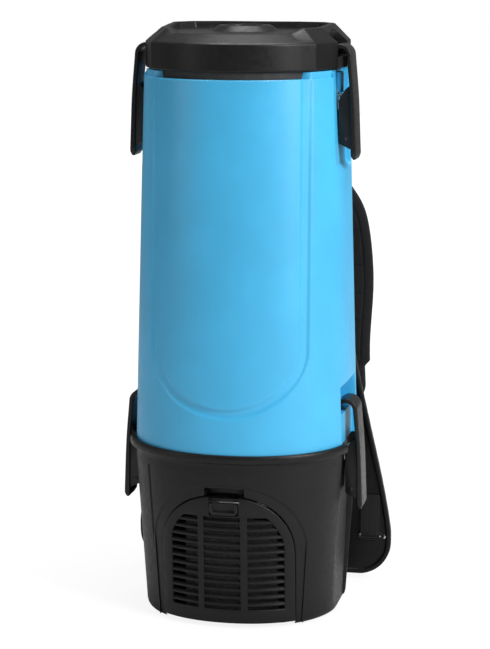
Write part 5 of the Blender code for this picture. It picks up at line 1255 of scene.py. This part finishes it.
def make_lever_bar():
    """The lever, as rounded rectangles set between its inner and outer edge, one for each step along it."""
    inner = lever_edge(ARCH_RADIUS - LEVER_THICKNESS, LEVER_INNER)
    outer = lever_edge(ARCH_RADIUS, LEVER_OUTER)
    down = np.clip((-inner[:, 1] / LEVER_LENGTH - 0.90) / 0.10, 0.0, 1.0)
    half_width = 0.5 * LEVER_WIDTH - 0.0042 * (1 - np.sqrt(1 - down ** 2))
    rows = []
    for number, (start, end, half) in enumerate(zip(inner, outer, half_width)):
        squeeze = END_SQUEEZE[min(number + 1, len(inner) - 1 - number, 3)]
        start, end = start + (end - start) * squeeze, end - (end - start) * squeeze
        half -= squeeze * 0.0045
        thick = np.linalg.norm(end - start)
        section = rounded_profile([(-half, 0.0), (-half, thick), (half, thick), (half, 0.0)],
                                  min(0.0016, 0.40 * thick), 6)
        across = start + (end - start) / thick * section[:, 1:]
        rows.append(points_at(across[:, 0], section[:, 0], across[:, 1]))
    return np.stack(rows)


def make_wire():
    """A stiff wire loop: bent ends in the cheeks, two legs and a straight axle in the bracket."""
    hinge, rivet = (np.array([place[0], 0.0, place[1]]) for place in (BAIL_HINGE, BAIL_RIVET))
    out = np.array([0.0, 1.0, 0.0])
    path = rounded_profile([rivet - WIRE_END_Y * out, rivet - WIRE_LEG_Y * out, hinge - WIRE_LEG_Y * out,
                            hinge + WIRE_LEG_Y * out, rivet + WIRE_LEG_Y * out, rivet + WIRE_END_Y * out],
                           0.0030, 8, closed=False)
    return carried(path, circle(BAIL_RADIUS, 14), np.cross(out, hinge - rivet))


def make_rivet_head(face):
    """A flat dome on the outside of a cheek."""
    ring = turned(RIVET_HEAD, 24)
    return points_at(BAIL_RIVET[0] + ring[..., 0], face * (CHEEK_FACES[1] + ring[..., 2]),
                     BAIL_RIVET[1] + ring[..., 1])


def make_latches():
    lever = [make_lever_bar()] + [make(face) for make in (make_cheek, make_rivet_head) for face in (1, -1)]
    wire = make_wire()
    for level, (centre_x, centre_z) in LATCHES.items():
        for hand, side in (("right", 1), ("left", -1)):
            def placed(*grids):
                return [((grid + (centre_x, 0.0, centre_z)) * (side, 1, 1), False, True) for grid in grids]

            tag = "%s_%s" % (level, hand)
            make_piece(tag + "_handle", placed(*lever), "black_lever", tag + "_lever", body=tag + "_latch")
            make_piece(tag + "_wire", placed(wire), "steel", tag + "_bail", body=tag + "_link")
            softened(tag + "_bracket", tag + "_hinge_plate", "steel", 0.0003, 2)


make_latches()


# ------------------------------------------------------------------ harness plate
PLATE_BOTTOM, PLATE_TOP = 0.0050, 0.4900
PLATE_RIM_WIDTH, PLATE_RIM_HEIGHT = 0.0050, 0.0022
PLATE_SIDE = ((0.1350, 0.0400), (0.1350, 0.0560), (0.1256, 0.1070), (0.1120, 0.1650), (0.0940, 0.2450),
              (0.0700, 0.4600))
PLATE_EDGE = 0.0014
SLOT_X = (0.1020, 0.1240)
SLOT_Z = (0.0436, 0.0490)
SLOT_MIDDLE_X = 0.1130
WEBBING_TAIL = 0.0420
ANCHOR_HALF = (0.0115, 0.0030)   # half sizes of the upper webbing's slot, across and along

STRAP_ROUTE = ((0.0360, 0.1210, 0.4180), (0.0500, 0.1350, 0.4040), (0.0635, 0.1460, 0.3885),
               (0.0730, 0.1520, 0.3640), (0.0780, 0.1550, 0.3090), (0.0755, 0.1510, 0.2400),
               (0.0785, 0.1450, 0.1820))
STRAP_WIDTH, STRAP_THICKNESS = 0.0550, 0.0140
STRAP_END_TAPER = 0.0250
WEBBING_WIDTH, WEBBING_THICKNESS = 0.0200, 0.0018
BUCKLE_GAP, BUCKLE_LENGTH = 0.0060, 0.0300
LOWER_WEBBING_KNOTS = ((0.0945, 0.1310, 0.1310), (0.1055, 0.1205, 0.0990), (0.1120, 0.1080, 0.0650))


def unit(vector):
    return vector / np.linalg.norm(vector)


def plate_edge():
    """Right edge of the plate from below: a round wing, a waist and a round shoulder, as (x, z)."""
    def turn(centre, radius, start):
        angle = np.linspace(start, start + 0.5 * np.pi, 40)
        return np.stack([centre[0] + radius * np.cos(angle), centre[1] + radius * np.sin(angle)], axis=-1)

    waist = rounded_profile(PLATE_SIDE, 0.0300, 16, closed=False)[1:-1]
    return np.concatenate([turn((0.1000, 0.0400), 0.0350, -0.5 * np.pi), waist,
                           turn((0.0400, 0.4600), 0.0300, 0.0)])


def strap_anchor():
    """Where a strap's upper webbing meets the plate, its width's direction and the pad's end."""
    route = smooth_path(STRAP_ROUTE, 200)
    toward = unit(route[0] - route[6])
    level = unit(toward * (1.0, 0.0, 1.0))
    across = np.array([level[2], 0.0, -level[0]])
    return np.array([route[0][0], PLATE_BACK_Y, route[0][2]]) + 0.0130 * level, across, toward


def slot_cutters():
    """Blocks through the plate where the lower and upper webbings pass it, on both sides."""
    middle, across, _ = strap_anchor()
    half_x = ANCHOR_HALF[0] * across[[0, 2]]
    half_z = ANCHOR_HALF[1] * across[[2, 0]] * (1.0, -1.0)
    corners = [middle[[0, 2]] + x * half_x + z * half_z for x, z in ((1, 1), (-1, 1), (-1, -1), (1, -1))]
    outlines = (rounded_profile(box_corners(SLOT_X, SLOT_Z), 0.0030, 8), rounded_profile(corners, 0.0020, 6))
    rows_y = np.array([0.0600, 0.1400])[:, None]
    return [make_piece("slot_cutter", [(points_at(side * outline[:, 0], rows_y, outline[:, 1]), False, True)],
                       "black_shell", body="") for side in (1, -1) for outline in outlines]


def make_plate():
    """Flat field inside a raised, rounded rim: y depends on the distance to the plate's edge.

    Row z, column s: x = s X(z), where X is the edge's half width. In front y falls by the rim's
    height near the edge, and both faces curve together at the edge itself.
    """
    edge = plate_edge()
    shoulder = np.linspace(0.0, 1.0, 26) ** 2
    z = np.concatenate([PLATE_BOTTOM + 0.0120 * shoulder, np.linspace(0.0170, 0.4780, 150),
                        PLATE_TOP - 0.0120 * shoulder])
    z = np.unique(np.round(z, 6))
    half = np.interp(z, edge[:, 1], edge[:, 0])[:, None]
    near = 1 - 0.10 * np.linspace(0.0, 1.0, 22) ** 1.5
    x = half * np.concatenate([-near, np.linspace(-0.88, 0.88, 23), near[::-1]])
    height = np.broadcast_to(z[:, None], x.shape)
    outline = evenly(edge, 700)
    away = np.minimum(height - PLATE_BOTTOM, PLATE_TOP - height)
    for start in range(0, len(outline), 100):
        points = outline[start:start + 100]
        gap = np.hypot(np.abs(x)[..., None] - points[:, 0], height[..., None] - points[:, 1])
        away = np.minimum(away, gap.min(axis=-1))
    round_off = PLATE_EDGE * (1 - np.sqrt(1 - (1 - np.clip(away / PLATE_EDGE, 0.0, 1.0)) ** 2))
    rim = PLATE_RIM_HEIGHT * (1 - smooth_step(PLATE_RIM_WIDTH - 0.0012, PLATE_RIM_WIDTH + 0.0004, away))
    front = points_at(x, PLATE_FRONT_Y - rim + round_off, height)
    back = points_at(x, PLATE_BACK_Y - round_off, height)
    grid = np.concatenate([front, back[:, ::-1]], axis=1)
    plate = make_piece("back_plate", [(grid, False, True)], "black_shell", body="")
    carve(plate, slot_cutters())
    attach(plate, "machine")
    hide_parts("harness_plate")


def carve(piece, cutters):
    """Takes the cutters' space out of the piece and makes the result its own mesh."""
    for number, cutter in enumerate(cutters):
        way = piece.modifiers.new("way_%d" % number, "BOOLEAN")
        way.operation = "DIFFERENCE"
        way.solver = "EXACT"
        way.object = cutter
    bpy.context.view_layer.update()
    seen = piece.evaluated_get(bpy.context.evaluated_depsgraph_get())
    mesh = bpy.data.meshes.new_from_object(seen)
    piece.modifiers.clear()
    piece.data = mesh
    for cutter in cutters:
        bpy.data.objects.remove(cutter)
    mesh.shade_smooth()
    mesh.set_sharp_from_angle(angle=math.radians(32.0))


make_plate()


# ------------------------------------------------------------------ padded pieces
SIMULATED_GRID = (110, 56)
FINE_GRID = (330, 168)
CLOTH_FRAMES = 20
PAD_CORNER = 0.0220
PADS = {"back_pad": (0.0550, 0.1450, 0.3720, 0.0200, 5), "lumbar_pad": (0.0860, 0.0220, 0.1240, 0.0190, 3)}
SEAM_HEIGHTS = (0.3790, 0.3590, 0.3230, 0.2940, 0.2660, 0.2220)
SEAM_DEPTH, GRAIN_DEPTH, STITCH_LENGTH, GRAIN_SIZE = 0.0008, 0.00025, 0.0032, 0.03
BACK_PAD_CAP, CUSHION_CAP = 0.0068, 0.0029      # how far a pad may swell


def swelled(grid, held):
    """Cloth simulation of a closed grid under pressure, with the held points sewn down.
    """
    mesh = bpy.data.meshes.new("cloth_form")
    mesh.from_pydata(grid.reshape(-1, 3).tolist(), [], grid_faces(*grid.shape[:2], 0, False, True))
    cleaned(mesh)
    form = in_scene("cloth_form", mesh)
    group = form.vertex_groups.new(name="sewn")
    group.add(np.nonzero(held.ravel())[0].tolist(), 1.0, "REPLACE")
    cloth = form.modifiers.new("swell", "CLOTH")
    cloth.settings.vertex_group_mass = "sewn"
    cloth.settings.use_pressure = True
    cloth.settings.uniform_pressure_force = 4.0
    cloth.settings.effector_weights.gravity = 0.0
    cloth.point_cache.frame_start, cloth.point_cache.frame_end = 1, CLOTH_FRAMES
    for step in range(1, CLOTH_FRAMES + 1):
        bpy.context.scene.frame_set(step)
    seen = form.evaluated_get(bpy.context.evaluated_depsgraph_get())
    points = np.zeros(grid.size, np.float32)
    seen.data.vertices.foreach_get("co", points)
    bpy.data.objects.remove(form)
    bpy.data.meshes.remove(mesh)
    bpy.context.scene.frame_set(1)
    return points.reshape(grid.shape).astype(float) - grid


def finer(field, rows, columns):
    """A field on a coarse grid, which is round in its columns, read on a finer one."""
    row = np.linspace(0.0, len(field) - 1.0, rows)
    column = np.arange(columns) * field.shape[1] / columns
    low, side = np.floor(row).astype(int), np.floor(column).astype(int)
    high, next_side = np.minimum(low + 1, len(field) - 1), (side + 1) % field.shape[1]
    a, b = (row - low)[:, None, None], (column - side)[None, :, None]
    return ((field[low][:, side] * (1 - b) + field[low][:, next_side] * b) * (1 - a)
            + (field[high][:, side] * (1 - b) + field[high][:, next_side] * b) * a)


def dent(distance, width):
    """A sewn seam's cross-section: exp(-(distance / width)^2)."""
    return np.exp(-(distance / width) ** 2)


def quarter_round(distance, radius):
    """0 at an end and 1 from the radius on, along a quarter circle."""
    return np.sqrt(1 - (1 - np.clip(distance / radius, 0.0, 1.0)) ** 2)


def pillow(columns, half, thick, power, flat=False):
    """Section of a pad as (across, out): a superellipse, or its upper half on a flat base."""
    angle = np.linspace(0.0, 2 * np.pi, columns, endpoint=False)
    across, out = (np.sign(wave) * np.abs(wave) ** (2 / power) for wave in (np.cos(angle), np.sin(angle)))
    if flat:
        out = np.maximum(out, 0.0)
    return half[:, None] * across, thick[:, None] * out


def sewn_pad(name, build, seams, cap, node):
    """One padded piece from its own formulas.

    build(rows, columns) gives the grid, the outward direction and for each point how far it is
    along, across and from the edge. seams(along, edge, width) gives the sewn lines as 0 to 1.
    The panels between them swell in a simulation, each point by cap at most. The grid is then
    made finer, and the sewn lines get their narrow grooves.
    """
    coarse, _, along, _, edge = build(*SIMULATED_GRID)
    move = finer(swelled(coarse, seams(along, edge, 0.0016) > 0.5), *FINE_GRID)
    grid, out, along, across, edge = build(*FINE_GRID)
    length = np.maximum(np.linalg.norm(move, axis=-1, keepdims=True), 1e-9)
    grid = grid + move * np.minimum(1.0, cap / length)
    line = seams(along, edge, 0.0009)
    stitch = 0.75 + 0.25 * np.cos(2 * np.pi * (along + across) / STITCH_LENGTH)
    grain = noise_field(across / GRAIN_SIZE, along / GRAIN_SIZE, len(name))
    grid = grid - out * (SEAM_DEPTH * line * stitch + GRAIN_DEPTH * grain)[..., None]
    pad = make_piece(name, [(grid, False, True)], "padding", node, smooth_angle=75.0,
                     maps=[np.stack([across, along], axis=-1)])


def make_back_pad(node):
    """Cushion on the plate's back with level sewn channels and a border seam."""
    half_width, low, high, thickness, channels = PADS[node]
    pitch = (high - low) / (channels + 1)

    def build(rows, columns):
        share = np.linspace(0.0, 1.0, rows)
        z = low + (high - low) * (share - 0.08 * np.sin(2 * np.pi * share) / np.pi)
        from_end = np.minimum(z - low, high - z)
        half = half_width - 0.7 * PAD_CORNER * (1 - quarter_round(from_end, PAD_CORNER))
        thick = 0.62 * thickness * (0.12 + 0.88 * quarter_round(from_end, 0.0100))
        across, out = pillow(columns, half, thick, 3.4, flat=True)
        grid = points_at(across, PLATE_BACK_Y + 0.0003 + out, z[:, None])
        raised = out > 0.0010
        edge = np.where(raised, np.minimum(half[:, None] - np.abs(across), from_end[:, None]), -1.0)
        return grid, raised[..., None] * np.array([0.0, 1.0, 0.0]), grid[..., 2] - low, across, edge

    def seams(along, edge, width):
        step = np.clip(np.round(along / pitch), 1, channels)
        line = dent(along - step * pitch, 1.2 * width) * smooth_step(0.0080, 0.0100, edge)
        line = np.maximum(line, dent(edge - 0.0095, 1.2 * width))
        return np.where(edge < 0.0, 1.0 * (width > 0.0012), line)

    sewn_pad(node + "_cushion", build, seams, BACK_PAD_CAP, node)


def make_shoulder_cushion(tag, side):
    """Padded strap: quilted panels between two stitched borders, and a narrower foot."""
    def build(rows, columns):
        route = smooth_path(STRAP_ROUTE, rows)
        length = path_length(route)
        rounding = quarter_round(np.minimum(length, 1.6 * (length[-1] - length)), STRAP_END_TAPER)
        narrow = 1 - 0.20 * smooth_step(0.2230, 0.2150, route[:, 2])
        half = (0.0130 + (0.5 * STRAP_WIDTH - 0.0130) * rounding) * narrow
        thick = 0.5 * STRAP_THICKNESS * (0.45 + 0.55 * rounding) * 0.62
        across, out = pillow(columns, half, thick, 4.2)
        outwards = (0.0, 1.0, 0.0)
        grid = carried(route, np.stack([out, across], axis=-1), outwards) * (side, 1.0, 1.0)
        direction = np.sign(out)[..., None] * path_frames(route, outwards)[0][:, None] * (side, 1.0, 1.0)
        along = np.broadcast_to(length[:, None], out.shape)
        return grid, direction, along, across, half[:, None] - np.abs(across)

    route = smooth_path(STRAP_ROUTE, 400)
    levels = np.interp(np.negative(SEAM_HEIGHTS), -route[:, 2], path_length(route))

    def seams(along, edge, width):
        line = dent(edge - 0.0098, width)
        panel = smooth_step(0.0086, 0.0102, edge)
        for level in levels:
            line = np.maximum(line, dent(along - level, width) * panel)
        return np.maximum(line, dent(edge, 0.6 * width))

    sewn_pad("shoulder_cushion_" + tag, build, seams, CUSHION_CAP, "shoulder_pad_" + tag)


# ------------------------------------------------------------------ webbing, buckles and screws
def webbing(name, path, hint, node):
    """A woven strip: a thin rounded section carried along the path, with its own map in metres."""
    half, thin = 0.5 * WEBBING_WIDTH, 0.5 * WEBBING_THICKNESS
    section = rounded_profile([(-half, -thin), (-half, thin), (half, thin), (half, -thin)], 0.0007, 5)
    coords = np.stack(np.broadcast_arrays(section[:, 0], path_length(path)[:, None]), axis=-1)
    make_piece(name, [(carried(path, section, hint), False, True)], "webbing", node, smooth_angle=40.0,
               maps=[coords])


def make_slot_ring(tag, side):
    """Raised oval lip round the webbing's slot, and the pressed rivet at its outer end."""
    grow = np.array([-0.0009, 0.0009])
    oval = rounded_profile(box_corners(SLOT_X + grow, SLOT_Z + grow), 0.0040, 9)
    path = points_at(side * oval[:, 0], PLATE_FRONT_Y - 0.0002, oval[:, 1])
    path = np.concatenate([path, path[:1]])
    make_piece("slot_lip_" + tag, [(carried(path, circle(0.0011, 10), (0.0, 1.0, 0.0)), False, True)],
               "black_lever")
    dome = turned([(0.0001, 0.0010), (0.0010, 0.0009), (0.0017, 0.0005), (0.0020, 0.0), (0.0020, -0.0006),
                   (0.0001, -0.0006)], 24)
    head = points_at(side * (SLOT_X[1] + 0.0042 + dome[..., 0]), PLATE_FRONT_Y - dome[..., 2],
                     0.0455 + dome[..., 1])
    make_piece("slot_rivet_" + tag, [(head, False, True)], "steel")


def make_upper_strap(tag, mirror):
    """The short webbing from the pad's upper end through the plate."""
    start = smooth_path(STRAP_ROUTE, 200)[0]
    anchor, across, toward = strap_anchor()
    path = smooth_path([start + 0.0010 * toward, start + 0.0060 * toward]
                       + [anchor + (0.0, y, 0.0) for y in (0.0060, 0.0010, -0.0046)], 30)
    webbing("upper_strap_" + tag, path * mirror, across * mirror, "upper_webbing_" + tag)


def make_lower_strap(tag, mirror):
    """The webbing from the pad's foot through the buckle, round the slot and up the plate's front."""
    route = smooth_path(STRAP_ROUTE, 200)
    down = unit(route[-1] - route[-6])
    buckle_top = route[-1] + BUCKLE_GAP * down
    buckle_end = buckle_top + BUCKLE_LENGTH * down
    turn = 0.5 * (PLATE_BACK_Y - PLATE_FRONT_Y + WEBBING_THICKNESS) + 0.0006
    turn_y, turn_z = 0.5 * (PLATE_FRONT_Y + PLATE_BACK_Y), SLOT_Z[1] - 0.0003
    free = smooth_path([buckle_end + BUCKLE_GAP * down, *LOWER_WEBBING_KNOTS,
                        (SLOT_MIDDLE_X, turn_y + turn, turn_z)], 60)
    angle = np.linspace(0.0, np.pi, 14)[1:]
    fold = points_at(SLOT_MIDDLE_X, turn_y + turn * np.cos(angle), turn_z - turn * np.sin(angle))
    tail = points_at(SLOT_MIDDLE_X, turn_y - turn, turn_z + np.linspace(0.004, WEBBING_TAIL, 11))
    straight = [route[-1] + 0.0010 * down, buckle_top, 0.5 * (buckle_top + buckle_end), buckle_end]
    path = np.concatenate([straight, free, fold, tail])
    share = np.clip((path_length(path) - 0.0450) / 0.0900, 0.0, 1.0)[:, None]
    first = np.array([-down[2], 0.0, down[0]])
    hint = (first * (1 - share) + np.array([1.0, 0.0, 0.0]) * share) * mirror
    webbing("lower_strap_" + tag, path * mirror, hint, "lower_webbing_" + tag)
    softened("ladder_buckle_" + tag, "strap_buckle_" + tag, "black_lever", 0.0007, 3)
    bars = []
    for place in (0.30, 0.62):
        centre = buckle_top + (buckle_end - buckle_top) * place
        ends = np.array([centre - 0.0125 * first, centre + 0.0125 * first]) * mirror
        section = circle(0.0016, 12) + (0.0, 0.0030)
        bars.append((carried(evenly(ends, 6), section, (0.0, 1.0, 0.0)), False, True))
    make_piece("buckle_bars_" + tag, bars, "black_lever")


for strap_tag, strap_side in (("right", 1), ("left", -1)):
    make_shoulder_cushion(strap_tag, strap_side)
    make_upper_strap(strap_tag, np.array([strap_side, 1.0, 1.0]))
    make_lower_strap(strap_tag, np.array([strap_side, 1.0, 1.0]))
    make_slot_ring(strap_tag, strap_side)
for pad_node in PADS:
    make_back_pad(pad_node)
for screw in range(1, 5):
    softened("plate_screw_%d" % screw, "pan_screw_%d" % screw, "steel", 0.0003, 2)


# ------------------------------------------------------------------ small parts
BLOCK_X = (0.0905, 0.0968)
BLOCK_HALF_WIDTH = 0.0070
BLOCK_ROWS = ((0.5160, 0.86), (0.5162, 0.95), (0.5170, 1.0), (0.5345, 1.0), (0.5356, 0.94), (0.5360, 0.84))


def make_hinge_block(hand, side):
    """The moulded block over an upper latch's bracket: a rounded box from the pocket's floor outwards."""
    outline = rounded_profile(box_corners(BLOCK_X, (-BLOCK_HALF_WIDTH, BLOCK_HALF_WIDTH)), 0.0030, 7)
    middle = outline.mean(axis=0)
    rows = [points_at(side * (middle[0] + (outline[:, 0] - middle[0]) * size), outline[:, 1] * size, z)
            for z, size in BLOCK_ROWS]
    make_piece("hinge_block_" + hand, [(np.stack(rows), False, True)], "blue_shell")


make_hinge_block("right", 1)
make_hinge_block("left", -1)
softened("switch_bezel", "rocker_frame", "black_lever", 0.0005, 3)
softened("power_rocker", "rocker_cap", "switch_red", 0.0004, 3, body="rocker")
softened("cord_gland", "gland_sleeve", "rubber", 0.0006, 3)
softened("base_plate", "base_cover", "black_shell", 0.0008, 3)
